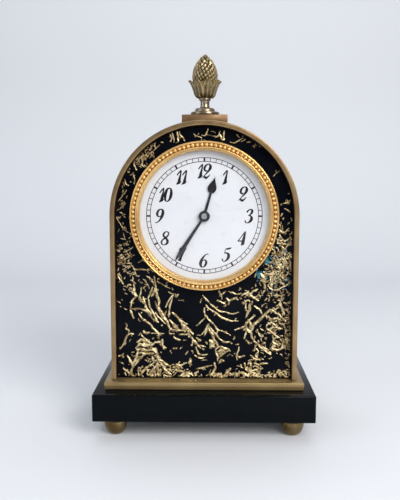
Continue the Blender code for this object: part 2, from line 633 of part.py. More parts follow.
CENTRE = (0.0, AXIS_Z)
MINUTE_WHEEL = beside(CENTRE, pair_distance(MOTION_MODULE, MOTION_TEETH, CANNON),
                      MINUTE_WHEEL_BEARING)
SETTING_AXIS = beside(MINUTE_WHEEL, pair_distance(MOTION_MODULE, MOTION_TEETH, SETTING),
                      SETTING_BEARING)
THIRD_WHEEL = beside(CENTRE, pair_distance(CENTRE_MODULE, CENTRE_TEETH, THIRD_PINION),
                     THIRD_BEARING)
INTERMEDIATE = beside(THIRD_WHEEL, pair_distance(THIRD_MODULE, THIRD_TEETH, INTERMEDIATE_PINION),
                      INTERMEDIATE_BEARING)
ROTOR = beside(INTERMEDIATE,
               pair_distance(INTERMEDIATE_MODULE, INTERMEDIATE_TEETH, ROTOR_PINION),
               ROTOR_BEARING)


def gear(teeth, module, phase, level, grow=0.0):
    """Toothed disc between two levels; grow makes it longer at both ends."""
    return prism(gear_outline(teeth, module, phase), level[0] - grow, level[1] + grow)


def make_motion_work():
    cannon_phase = 0.0
    wheel_phase = meshing_phase(cannon_phase, CANNON, MOTION_TEETH, MINUTE_WHEEL_BEARING)
    pinion_phase = 0.0
    hour_phase = meshing_phase(pinion_phase, MINUTE_PINION, HOUR_TEETH,
                               MINUTE_WHEEL_BEARING + math.pi)
    setting_phase = meshing_phase(wheel_phase, MOTION_TEETH, SETTING, SETTING_BEARING)
    centre = (CENTRE[0], 0, CENTRE[1])

    arbor_front = MINUTE_HAND_BACK - HAND_THICKNESS - 0.9 * MM
    piece("centre_arbor", "steel",
          [rod(ARBOR_RADIUS, arbor_front, CENTRE_LEVEL[1] + 0.3 * MM, 16),
           rod(0.7 * MM, CENTRE_LEVEL[1], ARBOR_END_REAR, 8),
           gear(CENTRE_TEETH, CENTRE_MODULE, 0.0, CENTRE_LEVEL),
           gear(CANNON, MOTION_MODULE, cannon_phase, MOTION_LEVEL)], origin=centre)

    pipe = rod(PIPE_RADIUS, HOUR_HAND_BACK - HAND_THICKNESS - 0.2 * MM, HOUR_LEVEL[1], 16)
    piece("hour_wheel", "white_plastic",
          [gear(HOUR_TEETH, MOTION_MODULE, hour_phase, HOUR_LEVEL), pipe],
          [rod(PIPE_BORE, HOUR_HAND_BACK - 3 * MM, HOUR_LEVEL[1] + PAST, 16)], origin=centre)

    piece("minute_wheel", "white_plastic",
          [gear(MOTION_TEETH, MOTION_MODULE, wheel_phase, MOTION_LEVEL),
           prism(gear_outline(MINUTE_PINION, MOTION_MODULE, pinion_phase), HOUR_LEVEL[0],
                 MOTION_LEVEL[0] + 0.2 * MM),
           rod(0.5 * MM, ARBOR_END_FRONT, ARBOR_END_REAR, 8)],
          origin=(MINUTE_WHEEL[0], 0, MINUTE_WHEEL[1]))

    shaft = rod(1.2 * MM, MOTION_LEVEL[1] - 0.2 * MM, CASE_REAR + 1.5 * MM, 10)
    knob = gear(18, 0.50 * MM, 0.0, (CASE_REAR + 0.6 * MM, CASE_REAR + 3.2 * MM))
    piece("setting_knob", "white_plastic",
          [gear(SETTING, MOTION_MODULE, setting_phase, MOTION_LEVEL), shaft, knob,
           rod(0.5 * MM, ARBOR_END_FRONT, MOTION_LEVEL[1], 8)],
          origin=(SETTING_AXIS[0], 0, SETTING_AXIS[1]))


def wheel_and_pinion(name, place, wheel, pinion, colour="white_plastic"):
    """A wheel and a longer pinion on one thin arbor; each is (teeth, module, phase, level)."""
    piece(name, colour,
          [gear(*wheel), gear(*pinion, 0.3 * MM),
           rod(0.5 * MM, ARBOR_END_FRONT, ARBOR_END_REAR, 8)],
          origin=(place[0], 0, place[1]))


def make_reduction_train():
    third_pinion = meshing_phase(0.0, CENTRE_TEETH, THIRD_PINION, THIRD_BEARING)
    wheel_and_pinion("third_wheel", THIRD_WHEEL,
                     (THIRD_TEETH, THIRD_MODULE, 0.0, THIRD_LEVEL),
                     (THIRD_PINION, CENTRE_MODULE, third_pinion, CENTRE_LEVEL))
    middle_pinion = meshing_phase(0.0, THIRD_TEETH, INTERMEDIATE_PINION, INTERMEDIATE_BEARING)
    wheel_and_pinion("intermediate_wheel", INTERMEDIATE,
                     (INTERMEDIATE_TEETH, INTERMEDIATE_MODULE, 0.0, INTERMEDIATE_LEVEL),
                     (INTERMEDIATE_PINION, THIRD_MODULE, middle_pinion, THIRD_LEVEL))
    rotor_pinion = meshing_phase(0.0, INTERMEDIATE_TEETH, ROTOR_PINION, ROTOR_BEARING)
    piece("rotor", "steel",
          [rod(2.2 * MM, *ROTOR_LEVEL, 16),
           gear(ROTOR_PINION, INTERMEDIATE_MODULE, rotor_pinion, INTERMEDIATE_LEVEL, 0.3 * MM),
           rod(0.5 * MM, ARBOR_END_FRONT, ARBOR_END_REAR, 8)],
          origin=(ROTOR[0], 0, ROTOR[1]))


# ---------------------------------------------------------------- movement: case and electrics

def make_movement_case():
    half, wall = CASE_HALF, CASE_WALL
    tray = box((-half, CASE_FRONT, AXIS_Z - half), (half, COVER_FRONT - GAP, AXIS_Z + half))
    bush = rod(BUSH_RADIUS, DIAL_BACK + 0.5 * MM, CASE_FRONT + wall, 16, "Y", (0, 0, AXIS_Z))
    train_room = box((-half + wall, CASE_INSIDE_FRONT, DIVIDER_Z + wall),
                     (half - wall, CASE_REAR + PAST, AXIS_Z + half - wall))
    battery_bay = box((-half + wall, CASE_INSIDE_FRONT, AXIS_Z - half + wall),
                      (half - wall, CASE_REAR + PAST, DIVIDER_Z))
    bore = rod(2.6 * MM, DIAL_BACK - PAST, CASE_FRONT + 3 * MM, 16, "Y", (0, 0, AXIS_Z))
    sockets = [rod(0.65 * MM, CASE_INSIDE_FRONT - SOCKET, CASE_INSIDE_FRONT + PAST, 8, "Y", (x, 0, z))
               for x, z in (MINUTE_WHEEL, SETTING_AXIS, THIRD_WHEEL, INTERMEDIATE, ROTOR)]
    piece("movement_front_case", "black_plastic", [tray, bush],
          [train_room, battery_bay, bore] + sockets)

    cover = box((-half, COVER_FRONT, DIVIDER_Z), (half, CASE_REAR, AXIS_Z + half))
    sockets = [rod(0.85 * MM, COVER_FRONT - PAST, COVER_FRONT + SOCKET, 8, "Y", (x, 0, z))
               for x, z in (CENTRE, MINUTE_WHEEL, THIRD_WHEEL, INTERMEDIATE, ROTOR)]
    setting_hole = rod(1.5 * MM, COVER_FRONT - PAST, CASE_REAR + PAST, 12, "Y",
                       (SETTING_AXIS[0], 0, SETTING_AXIS[1]))
    piece("movement_rear_case", "black_plastic", [cover], sockets + [setting_hole])

    washer_low, washer_high = PANEL_BACK + GAP, CASE_FRONT - GAP
    ring = [(BUSH_RADIUS + GAP, washer_low), (11 * MM, washer_low), (11 * MM, washer_high),
            (BUSH_RADIUS + GAP, washer_high)]
    piece("panel_washer", "rubber", [turned(ring, 16, "Y", closed=True)], origin=(0, 0, AXIS_Z))
    nut_front = PANEL_FRONT + GAP
    nut = rod(6.6 * MM, nut_front, nut_front + 2.0 * MM, 6)
    piece("panel_nut", "case_brass", [nut],
          [rod(BUSH_RADIUS + 0.1 * MM, nut_front - MM, nut_front + 3 * MM, 16)],
          origin=(0, 0, AXIS_Z))


def make_motor():
    """Stator, core and coil that turn the rotor."""
    left, right = -24 * MM, 4 * MM
    low, shoulder, top = AXIS_Z + 10 * MM, AXIS_Z + 16.5 * MM, AXIS_Z + 24 * MM
    arm = 3.5 * MM
    outline = [(left, low), (right, low), (right, top), (right - arm, top),
               (right - arm, shoulder), (left + arm, shoulder), (left + arm, top), (left, top)]
    piece("stator", "steel", [prism(outline, *STATOR_LEVEL)],
          [rod(2.6 * MM, STATOR_LEVEL[0] - PAST, STATOR_LEVEL[1] + PAST, 16, "Y",
               (ROTOR[0], 0, ROTOR[1]))])
    core_low, core_high = STATOR_LEVEL[1] + GAP, STATOR_LEVEL[1] + GAP + 1.3 * MM
    core_z = AXIS_Z + 21.5 * MM
    piece("coil_core", "steel", [box((left, core_low, core_z - 0.8 * MM),
                                     (right, core_high, core_z + 0.8 * MM))])
    centre_y = (core_low + core_high) / 2
    winding = rod(2.4 * MM, left + arm + MM, right - arm - MM, 14, "X", (0, centre_y, core_z))
    bore = box((left, centre_y - MM, core_z - 1.1 * MM), (right, centre_y + MM, core_z + 1.1 * MM))
    piece("coil_winding", "copper", [winding], [bore])


def make_electronics():
    board_front = COVER_FRONT - 3.8 * MM
    board_rear = board_front + MM
    left, right = 16.4 * MM, 26.2 * MM
    low, high = AXIS_Z + 4 * MM, AXIS_Z + 26 * MM
    middle = (left + right) / 2
    piece("circuit_board", "green_board", [box((left, board_front, low), (right, board_rear, high))])
    rear = board_rear + GAP
    piece("control_chip", "black_plastic",
          [box((middle - 2.2 * MM, rear, low + 3 * MM), (middle + 2.2 * MM, rear + 1.2 * MM,
                                                        low + 7.4 * MM))], bevel=0.15 * MM)
    piece("quartz_crystal", "steel",
          [rod(MM, low + 11 * MM, low + 17 * MM, 12, "Z", (middle, rear + MM, 0))])


def make_battery():
    y = CASE_INSIDE_FRONT + GAP + BATTERY_RADIUS
    left, right, end = -24.4 * MM, 24.3 * MM, 25.3 * MM
    profile = [(0, left), (0.62 * BATTERY_RADIUS, left), (0.94 * BATTERY_RADIUS, left + 0.4 * MM),
               (BATTERY_RADIUS, left + MM), (BATTERY_RADIUS, right - MM),
               (0.94 * BATTERY_RADIUS, right), (2.7 * MM, right), (2.7 * MM, end), (0, end)]
    cell = turned(profile, 20, "Y")
    bmesh.ops.rotate(cell, verts=cell.verts, matrix=Matrix.Rotation(-math.pi / 2, 3, "Z"))
    piece("battery", "cell_jacket", [moved(cell, (0, y, BATTERY_Z))])
    plate = box((25.7 * MM, y - 4 * MM, BATTERY_Z - 4 * MM),
                (26.2 * MM, y + 6 * MM, BATTERY_Z + 4 * MM))
    piece("contact_plate", "steel", [plate])
    wall = -CASE_HALF + CASE_WALL + GAP
    strip = [(0, 5.5), (0.4, 5.5), (0.4, 3.0), (1.3, 0.6), (1.3, -0.6), (0.4, -3.0), (0.4, -5.5),
             (0, -5.5), (0, -2.8), (0.9, -0.5), (0.9, 0.5), (0, 2.8)]
    outline = [(wall + x * MM, BATTERY_Z + z * MM) for x, z in strip]
    piece("contact_spring", "steel", [prism(outline, y - 3 * MM, y + 3 * MM)])


make_feet()
make_plinth_and_plate()
make_arch()
make_corner_blocks()
make_posts()
make_finial()
make_panels()
make_door()
make_bezel()
make_glass()
make_dial()
make_hands()
make_motion_work()
make_reduction_train()
make_movement_case()
make_motor()
make_electronics()
make_battery()
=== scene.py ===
"""Looks of the arch mantel clock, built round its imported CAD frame."""

import json
import math
import random

import bmesh
import bpy
from mathutils import Matrix, Vector


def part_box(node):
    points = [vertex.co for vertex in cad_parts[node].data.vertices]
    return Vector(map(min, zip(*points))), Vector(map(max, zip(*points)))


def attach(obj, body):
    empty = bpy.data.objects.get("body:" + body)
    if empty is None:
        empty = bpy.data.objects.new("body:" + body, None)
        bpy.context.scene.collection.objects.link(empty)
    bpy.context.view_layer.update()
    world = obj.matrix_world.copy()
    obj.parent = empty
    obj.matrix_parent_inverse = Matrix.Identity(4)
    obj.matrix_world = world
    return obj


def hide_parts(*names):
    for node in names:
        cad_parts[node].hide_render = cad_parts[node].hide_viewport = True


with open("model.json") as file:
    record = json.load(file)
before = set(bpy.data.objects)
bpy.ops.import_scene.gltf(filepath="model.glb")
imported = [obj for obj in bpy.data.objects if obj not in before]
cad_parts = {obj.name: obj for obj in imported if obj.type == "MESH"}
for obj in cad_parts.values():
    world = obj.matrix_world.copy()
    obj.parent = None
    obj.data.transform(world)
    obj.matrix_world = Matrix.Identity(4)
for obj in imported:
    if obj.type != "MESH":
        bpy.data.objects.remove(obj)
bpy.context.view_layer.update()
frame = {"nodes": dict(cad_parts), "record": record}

MM = 0.001


# ---------------------------------------------------------------- places read from the frame

BOXES = {name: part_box(name) for name in frame["nodes"]}


def low(name):
    return Vector(BOXES[name][0])


def high(name):
    return Vector(BOXES[name][1])


def middle(name):
    return (low(name) + high(name)) / 2


def half_width(name):
    return (high(name).x - low(name).x) / 2


AXIS = Vector((0.0, 0.0, middle("dial").z))     # of the hands, the dial and the bezel


# ---------------------------------------------------------------- camera, light and stage

CAMERA_HEIGHT = 163.6 * MM
CAMERA_DISTANCE = 389.7 * MM        # in front of the plinth
CAMERA_SIDE = 4.5 * MM
FOCAL_LENGTH, SENSOR_WIDTH = 48.0, 36.0
PITCH, YAW, ROLL = -6.68, 1.0, 0.06

CLOCK = (0, 0, 0.12)                # where most lamps point

# Name, place, target, width and height, watts, colour, and whether polished brass mirrors it
LIGHTS = (
    ("window", (0.55, -0.85, 0.65), CLOCK, (0.5, 0.5), 11.0, (1.0, 0.97, 0.93), True),
    ("front_fill", (0.15, -1.30, 0.75), CLOCK, (1.4, 0.9), 11.0, (0.98, 0.98, 1.0), False),
    ("left_fill", (-0.9, -0.5, 0.45), CLOCK, (0.5, 0.8), 2.5, (0.90, 0.95, 1.0), True),
    ("top", (0.0, 0.1, 1.1), CLOCK, (0.8, 0.8), 2.0, (1.0, 1.0, 1.0), True),
    ("backdrop_wash", (0.0, 0.35, 1.3), (0, 0.9, 0.3), (1.6, 0.3), 4.0, (0.93, 0.96, 1), True),
)
GROUND_GLOW = (0.10, 0.08, 0.06, 1)
SKY_GLOW = (0.72, 0.76, 0.84, 1)
GLOW_STRENGTH = 0.6


def make_camera():
    """Camera where the photographer stood, a little right of the middle and above the dial."""
    camera = bpy.data.objects.new("camera", bpy.data.cameras.new("camera"))
    bpy.context.scene.collection.objects.link(camera)
    camera.data.lens = FOCAL_LENGTH
    camera.data.sensor_width = SENSOR_WIDTH
    camera.data.clip_start = 0.01
    turn = (Matrix.Rotation(math.radians(YAW), 4, "Z")
            @ Matrix.Rotation(math.radians(90 + PITCH), 4, "X")
            @ Matrix.Rotation(math.radians(ROLL), 4, "Z"))
    place = Vector((CAMERA_SIDE, low("plinth").y - CAMERA_DISTANCE, CAMERA_HEIGHT))
    camera.matrix_world = Matrix.Translation(place) @ turn
    bpy.context.scene.camera = camera


def area_light(name, place, target, size, power, colour, mirrored):
    """Rectangular lamp turned towards a target."""
    data = bpy.data.lights.new(name, "AREA")
    data.shape = "RECTANGLE"
    data.size, data.size_y = size
    data.energy = power
    data.color = colour
    lamp = bpy.data.objects.new(name, data)
    bpy.context.scene.collection.objects.link(lamp)
    lamp.location = place
    lamp.rotation_euler = (Vector(target) - Vector(place)).to_track_quat("-Z", "Y").to_euler()
    lamp.visible_glossy = mirrored


def make_light():
    """Soft lamps, and a world that is warm and dim below the horizon and pale above it."""
    for lamp in LIGHTS:
        area_light(*lamp)
    world = bpy.data.worlds.new("studio")
    bpy.context.scene.world = world
    world.use_nodes = True
    tree = world.node_tree
    where = node(tree, "ShaderNodeTexCoord")
    split = node(tree, "ShaderNodeSeparateXYZ")
    ramp = node(tree, "ShaderNodeValToRGB")
    stops = ((0.45, GROUND_GLOW), (0.72, SKY_GLOW))
    for element, (position, colour) in zip(ramp.color_ramp.elements, stops):
        element.position = position
        element.color = colour
    tree.links.new(where.outputs["Generated"], split.inputs[0])
    tree.links.new(spread(tree, split.outputs["Z"], -1, 1, 0, 1), ramp.inputs["Fac"])
    background = tree.nodes["Background"]
    tree.links.new(ramp.outputs["Color"], background.inputs["Color"])
    background.inputs["Strength"].default_value = GLOW_STRENGTH
    bpy.context.scene.view_settings.view_transform = "Standard"


def make_stage():
    """Pale floor that curves up into a pale backdrop."""
    mesh = bmesh.new()
    reach, back, radius = 3.0, 0.9, 0.35
    line = [(-reach, 0.0)] + arc((back - radius, radius), radius, -90, 0, 12) + [(back, reach)]
    rows = [[mesh.verts.new((x, y, z)) for y, z in line] for x in (-reach, reach)]
    bridge(mesh, rows, rings=False)
    floor = as_object("stage_floor", mesh, smooth=60)
    material, shader, _ = new_material("pale_stage")
    shader.inputs["Base Color"].default_value = (0.61, 0.625, 0.65, 1)
    shader.inputs["Roughness"].default_value = 0.6
    floor.data.materials.append(material)


# ---------------------------------------------------------------- materials

GRAIN_SCALE = 900.0                 # of the fine grain on every metal


def new_material(name):
    """Material, its shader and its node tree."""
    material = bpy.data.materials.new(name)
    material.use_nodes = True
    tree = material.node_tree
    return material, tree.nodes["Principled BSDF"], tree


def node(tree, kind, **settings):
    """Shader node with its inputs or its own settings given by name."""
    made = tree.nodes.new(kind)
    for key, value in settings.items():
        if key in made.inputs:
            made.inputs[key].default_value = value
        else:
            setattr(made, key, value)
    return made


def noise(tree, scale, detail=4.0, stretch=(1, 1, 1)):
    """Noise of about 1/scale metres, stretched along the object's axes."""
    where = node(tree, "ShaderNodeTexCoord")
    mapping = node(tree, "ShaderNodeMapping", Scale=stretch)
    made = node(tree, "ShaderNodeTexNoise", Scale=scale, Detail=detail)
    tree.links.new(where.outputs["Object"], mapping.inputs["Vector"])
    tree.links.new(mapping.outputs["Vector"], made.inputs["Vector"])
    return made.outputs["Fac"]


def spread(tree, value, low_in, high_in, low_out, high_out):
    """Value brought from one range into another, and held there."""
    made = node(tree, "ShaderNodeMapRange")
    for name, number in (("From Min", low_in), ("From Max", high_in), ("To Min", low_out),
                         ("To Max", high_out)):
        made.inputs[name].default_value = number
    tree.links.new(value, made.inputs["Value"])
    return made.outputs["Result"]


def blend_colours(tree, factor, first, second):
    """Mix of two colours, each a tuple or the output of a node."""
    made = node(tree, "ShaderNodeMix", data_type="RGBA")
    for name, colour in (("A", first), ("B", second)):
        socket = [s for s in made.inputs if s.name == name and s.type == "RGBA"][0]
        if isinstance(colour, tuple):
            socket.default_value = (*colour, 1)
        else:
            tree.links.new(colour, socket)
    tree.links.new(factor, made.inputs["Factor"])
    return [s for s in made.outputs if s.type == "RGBA"][0]


def baked_in(tree, name):
    """A value from 0 to 1 that the mesh carries on its corners."""
    return node(tree, "ShaderNodeAttribute", attribute_name=name).outputs["Fac"]


def paint(tree, shader, colour):
    """Base colour taken from the output of a node."""
    tree.links.new(colour, shader.inputs["Base Color"])


def polish(tree, shader, scale, smoothest, roughest):
    """Roughness that wanders between two values."""
    wander = spread(tree, noise(tree, scale), 0.3, 0.7, smoothest, roughest)
    tree.links.new(wander, shader.inputs["Roughness"])


def add_bump(tree, shader, height, distance, strength):
    """Fine relief from a height between 0 and 1."""
    bump = node(tree, "ShaderNodeBump", Strength=strength, Distance=distance)
    tree.links.new(height, bump.inputs["Height"])
    tree.links.new(bump.outputs["Normal"], shader.inputs["Normal"])


def metal(name, light, dark, smoothest, roughest, grain=(1, 1, 1), patch=60.0, depth=0.00002,
          hollow_shade=None, metallic=1.0):
    """Metal with slow colour changes, uneven polish, a fine grain, and painted shade in the
    hollows that the mesh marks.
    """
    material, shader, tree = new_material(name)
    shader.inputs["Metallic"].default_value = metallic
    colour = blend_colours(tree, spread(tree, noise(tree, patch, 5.0), 0.35, 0.68, 0, 1),
                           light, dark)
    # Painted shade: the colour darkens where the mesh's hollow attribute marks a recess
    if hollow_shade:
        colour = blend_colours(tree, baked_in(tree, "hollow"), colour, hollow_shade)
    paint(tree, shader, colour)
    polish(tree, shader, patch * 3, smoothest, roughest)
    add_bump(tree, shader, noise(tree, GRAIN_SCALE, 3.0, grain), depth, 0.5)
    return material


def plastic(name, colour, rough, grain=1500.0, depth=0.00004, shade=0.75, specular=0.5):
    """Moulded, lacquered or printed surface, faintly uneven in tone and gloss."""
    material, shader, tree = new_material(name)
    darker = tuple(shade * channel for channel in colour)
    tone = spread(tree, noise(tree, 90.0), 0.3, 0.7, 0, 1)
    paint(tree, shader, blend_colours(tree, tone, colour, darker))
    polish(tree, shader, 220.0, 0.85 * rough, 1.2 * rough)
    shader.inputs["Specular IOR Level"].default_value = specular
    add_bump(tree, shader, noise(tree, grain, 2.0), depth, 0.4)
    return material


def make_shaving_material():
    """Brass swarf: a painted highlight along each crest, and painted brown shade where a strand is
    marked deep.
    """
    material, shader, tree = new_material("brass_shavings")
    shader.inputs["Metallic"].default_value = 0.8
    flank = blend_colours(tree, spread(tree, noise(tree, 260.0, 3.0), 0.40, 0.62, 0, 1),
                          (0.36, 0.26, 0.10), (0.20, 0.12, 0.04))
    # Painted highlight: pale gold along each shaving's crest, over the darker flank colour
    crest = spread(tree, baked_in(tree, "crest"), 0.15, 0.80, 0, 1)
    colour = blend_colours(tree, crest, flank, (1.0, 0.87, 0.54))
    patches = spread(tree, noise(tree, 620.0, 3.0), 0.46, 0.60, 0, 0.82)
    colour = blend_colours(tree, patches, colour, (0.24, 0.15, 0.05))
    # Painted shade: dark brown where the sunk attribute marks a strand deep, in waves along it,
    # and on the strip behind it
    colour = blend_colours(tree, baked_in(tree, "sunk"), colour, (0.11, 0.065, 0.025))
    paint(tree, shader, colour)
    polish(tree, shader, 900.0, 0.32, 0.55)
    add_bump(tree, shader, noise(tree, 1500.0, 3.0), 0.0003, 0.9)
    return material


def make_stained_chip_material():
    """The few shavings that took a blue-green stain."""
    material, shader, tree = new_material("stained_chips")
    shader.inputs["Metallic"].default_value = 0.6
    patches = spread(tree, noise(tree, 500.0, 3.0), 0.4, 0.6, 0, 1)
    colour = blend_colours(tree, patches, (0.009, 0.085, 0.15), (0.07, 0.25, 0.28))
    # Painted shade: darker blue where the sunk attribute marks a chip deep
    deep = spread(tree, baked_in(tree, "sunk"), 0.3, 0.9, 0, 0.9)
    paint(tree, shader, blend_colours(tree, deep, colour, (0.008, 0.035, 0.07)))
    shader.inputs["Roughness"].default_value = 0.3
    add_bump(tree, shader, noise(tree, 1300.0, 3.0), 0.0002, 0.8)
    return material


def make_resin_material():
    """Black casting resin with a deep gloss and a faint blue cast."""
    material, shader, tree = new_material("black_resin")
    cloud = spread(tree, noise(tree, 40.0), 0.4, 0.7, 0, 1)
    paint(tree, shader, blend_colours(tree, cloud, (0.0012, 0.0018, 0.0035),
                                      (0.0030, 0.0038, 0.0060)))
    polish(tree, shader, 150.0, 0.05, 0.12)
    shader.inputs["Specular IOR Level"].default_value = 0.04
    add_bump(tree, shader, noise(tree, 60.0, 2.0), 0.00006, 0.3)
    return material


def make_glass_material():
    """Clear crystal: what is behind it shows through, and the room mirrors on it."""
    material, shader, tree = new_material("crystal")
    tree.nodes.remove(shader)
    clear = node(tree, "ShaderNodeBsdfTransparent")
    gloss = node(tree, "ShaderNodeBsdfGlossy", Roughness=0.02)
    slant = node(tree, "ShaderNodeLayerWeight", Blend=0.5)
    rise = node(tree, "ShaderNodeMath", operation="POWER")
    rise.inputs[1].default_value = 5.0
    tree.links.new(slant.outputs["Facing"], rise.inputs[0])
    mix = node(tree, "ShaderNodeMixShader")
    tree.links.new(spread(tree, rise.outputs[0], 0.0, 1.0, 0.018, 0.9), mix.inputs["Fac"])
    tree.links.new(clear.outputs[0], mix.inputs[1])
    tree.links.new(gloss.outputs[0], mix.inputs[2])
    tree.links.new(mix.outputs[0], tree.nodes["Material Output"].inputs["Surface"])
    return material


def make_winding_material():
    """Copper wire wound in fine even turns."""
    material, shader, tree = new_material("copper_wire")
    shader.inputs["Metallic"].default_value = 1.0
    where = node(tree, "ShaderNodeTexCoord")
    turns = node(tree, "ShaderNodeTexWave", Scale=1400.0, bands_direction="X")
    tree.links.new(where.outputs["Object"], turns.inputs["Vector"])
    # Painted shade: the copper darkens in the grooves between the turns
    paint(tree, shader, blend_colours(tree, turns.outputs["Fac"], (0.25, 0.08, 0.03),
                                      (0.80, 0.34, 0.16)))
    shader.inputs["Roughness"].default_value = 0.3
    add_bump(tree, shader, turns.outputs["Fac"], 0.0001, 0.8)
    return material


def make_board_material():
    """Solder-masked board with a faint grid of tracks."""
    material, shader, tree = new_material("circuit_board")
    where = node(tree, "ShaderNodeTexCoord")
    tracks = node(tree, "ShaderNodeTexBrick", Scale=260.0)
    tree.links.new(where.outputs["Object"], tracks.inputs["Vector"])
    paint(tree, shader, blend_colours(tree, tracks.outputs["Fac"], (0.015, 0.13, 0.05),
                                      (0.05, 0.26, 0.10)))
    shader.inputs["Roughness"].default_value = 0.35
    add_bump(tree, shader, tracks.outputs["Fac"], 0.00003, 0.6)
    return material


def make_cell_material():
    """Battery jacket: dark sleeve with a coppery band near the positive end."""
    material, shader, tree = new_material("cell_jacket")
    where = node(tree, "ShaderNodeTexCoord")
    split = node(tree, "ShaderNodeSeparateXYZ")
    tree.links.new(where.outputs["Object"], split.inputs[0])
    band = spread(tree, split.outputs["X"], 10.5 * MM, 10.7 * MM, 0, 1)
    paint(tree, shader, blend_colours(tree, band, (0.03, 0.035, 0.05), (0.62, 0.30, 0.10)))
    shader.inputs["Metallic"].default_value = 0.6
    polish(tree, shader, 300.0, 0.22, 0.36)
    add_bump(tree, shader, noise(tree, 700.0), 0.00003, 0.3)
    return material


MATERIALS = {
    "case_brass": metal("aged_brass", (0.38, 0.26, 0.132), (0.285, 0.188, 0.094), 0.28, 0.42,
                        grain=(1, 0.08, 1), patch=90.0, depth=0.00001),
    "block_brass": metal("block_brass", (0.245, 0.155, 0.080), (0.155, 0.088, 0.042), 0.42, 0.56,
                         grain=(0.1, 1, 1), patch=90.0, depth=0.00001, metallic=0.8),
    "plate_brass": metal("plate_brass", (0.355, 0.255, 0.115), (0.235, 0.165, 0.070), 0.26, 0.40,
                         grain=(0.1, 1, 1), patch=30.0, depth=0.00001, metallic=0.65),
    "foot_brass": metal("foot_brass", (0.235, 0.17, 0.082), (0.095, 0.058, 0.021), 0.10, 0.22,
                        patch=150.0, depth=0.00001),
    # Gilt: painted amber shade in the channel behind the beads
    "gilt": metal("gilt_brass", (0.77, 0.51, 0.205), (0.65, 0.40, 0.14), 0.16, 0.26, patch=70.0,
                  depth=0.000003, hollow_shade=(0.44, 0.22, 0.055), metallic=0.72),
    # Cast brass: painted near-black shade between the cone's scales and in the leaves' flutes
    "cast_brass": metal("cast_brass", (0.55, 0.44, 0.25), (0.29, 0.21, 0.10), 0.30, 0.50,
                        patch=260.0, depth=0.00006, hollow_shade=(0.05, 0.034, 0.014)),
    "worn_plate": metal("worn_plate", (0.335, 0.28, 0.205), (0.20, 0.14, 0.078), 0.24, 0.40,
                        patch=160.0, depth=0.00001),
    "steel": metal("plain_steel", (0.62, 0.62, 0.64), (0.48, 0.48, 0.50), 0.2, 0.36),
    "black_stone": plastic("black_lacquer", (0.0025, 0.0035, 0.0045), 0.10, 300.0, 0.00002,
                           specular=0.06),
    "resin": make_resin_material(),
    "shavings": make_shaving_material(),
    "stained": make_stained_chip_material(),
    "clear_glass": make_glass_material(),
    "dial_white": plastic("white_enamel", (0.54, 0.555, 0.585), 0.30, 400.0, 0.00001, shade=0.97),
    "ink": plastic("dial_ink", (0.004, 0.004, 0.007), 0.45, specular=0.2),
    "hand_black": plastic("hand_lacquer", (0.010, 0.010, 0.014), 0.18, 900.0, 0.00001),
    "black_plastic": plastic("black_moulding", (0.030, 0.030, 0.032), 0.42),
    "white_plastic": plastic("white_moulding", (0.78, 0.78, 0.74), 0.35),
    "rubber": plastic("rubber", (0.020, 0.020, 0.020), 0.75),
    "green_board": make_board_material(),
    "copper": make_winding_material(),
    "cell_jacket": make_cell_material(),
}


# ---------------------------------------------------------------- mesh helpers

def as_object(name, mesh_data, smooth=35):
    """Object with faces turned outwards, shaded smooth up to an angle in degrees."""
    mesh = bpy.data.meshes.new(name)
    bmesh.ops.recalc_face_normals(mesh_data, faces=mesh_data.faces)
    mesh_data.to_mesh(mesh)
    mesh_data.free()
    mesh.shade_smooth()
    mesh.set_sharp_from_angle(angle=math.radians(smooth))
    made = bpy.data.objects.new(name, mesh)
    bpy.context.scene.collection.objects.link(made)
    return made


def piece(name, mesh_data, material, body="case", replaces=(), smooth=35):
    """Object with its material and its body; the CAD nodes that it stands for are hidden."""
    made = as_object(name, mesh_data, smooth)
    made.data.materials.append(MATERIALS[material])
    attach(made, body)
    if replaces:
        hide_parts(*replaces)
    return made


def bridge(mesh, rows, rings=True, loop=False):
    """Faces between rows of points, where a row is a ring or a line and the rows may loop."""
    for here, there in zip(rows, rows[1:] + rows[:1] if loop else rows[1:]):
        for index in range(len(here) if rings else len(here) - 1):
            after = (index + 1) % len(here)
            mesh.faces.new((here[index], there[index], there[after], here[after]))


def cap(mesh, rows):
    """Faces that close the two ends of a row of rings."""
    mesh.faces.new(rows[0][::-1])
    mesh.faces.new(rows[-1])


def turned(profile, segments, axis="Z", closed=False, centre=(0, 0, 0)):
    """Body of revolution from (radius, height) points about an upright or a level axis."""
    mesh = bmesh.new()
    rows = []
    for step in range(segments):
        angle = 2 * math.pi * step / segments
        row = []
        for radius, height in profile:
            a, b = radius * math.cos(angle), radius * math.sin(angle)
            spot = (a, b, height) if axis == "Z" else (a, height, b)
            row.append(mesh.verts.new(Vector(spot) + Vector(centre)))
        rows.append(row)
    bridge(mesh, rows, rings=closed, loop=True)
    bmesh.ops.remove_doubles(mesh, verts=mesh.verts, dist=1e-7)
    return mesh


def turned_level(profile, segments, closed=True):
    """Body of revolution about the axis of the dial."""
    return turned(profile, segments, "Y", closed, AXIS)


def rounded(mesh, edges, radius, segments=2):
    """Edges of a mesh rounded off in place."""
    bmesh.ops.bevel(mesh, geom=edges, offset=radius, segments=segments, profile=0.5,
                    affect="EDGES")


def slab(name, radius):
    """Box as large as a CAD node, with rounded edges."""
    mesh = bmesh.new()
    bmesh.ops.create_cube(mesh, size=1.0)
    bmesh.ops.scale(mesh, verts=mesh.verts, vec=high(name) - low(name))
    bmesh.ops.translate(mesh, verts=mesh.verts, vec=middle(name))
    rounded(mesh, mesh.edges, radius, 3)
    return mesh


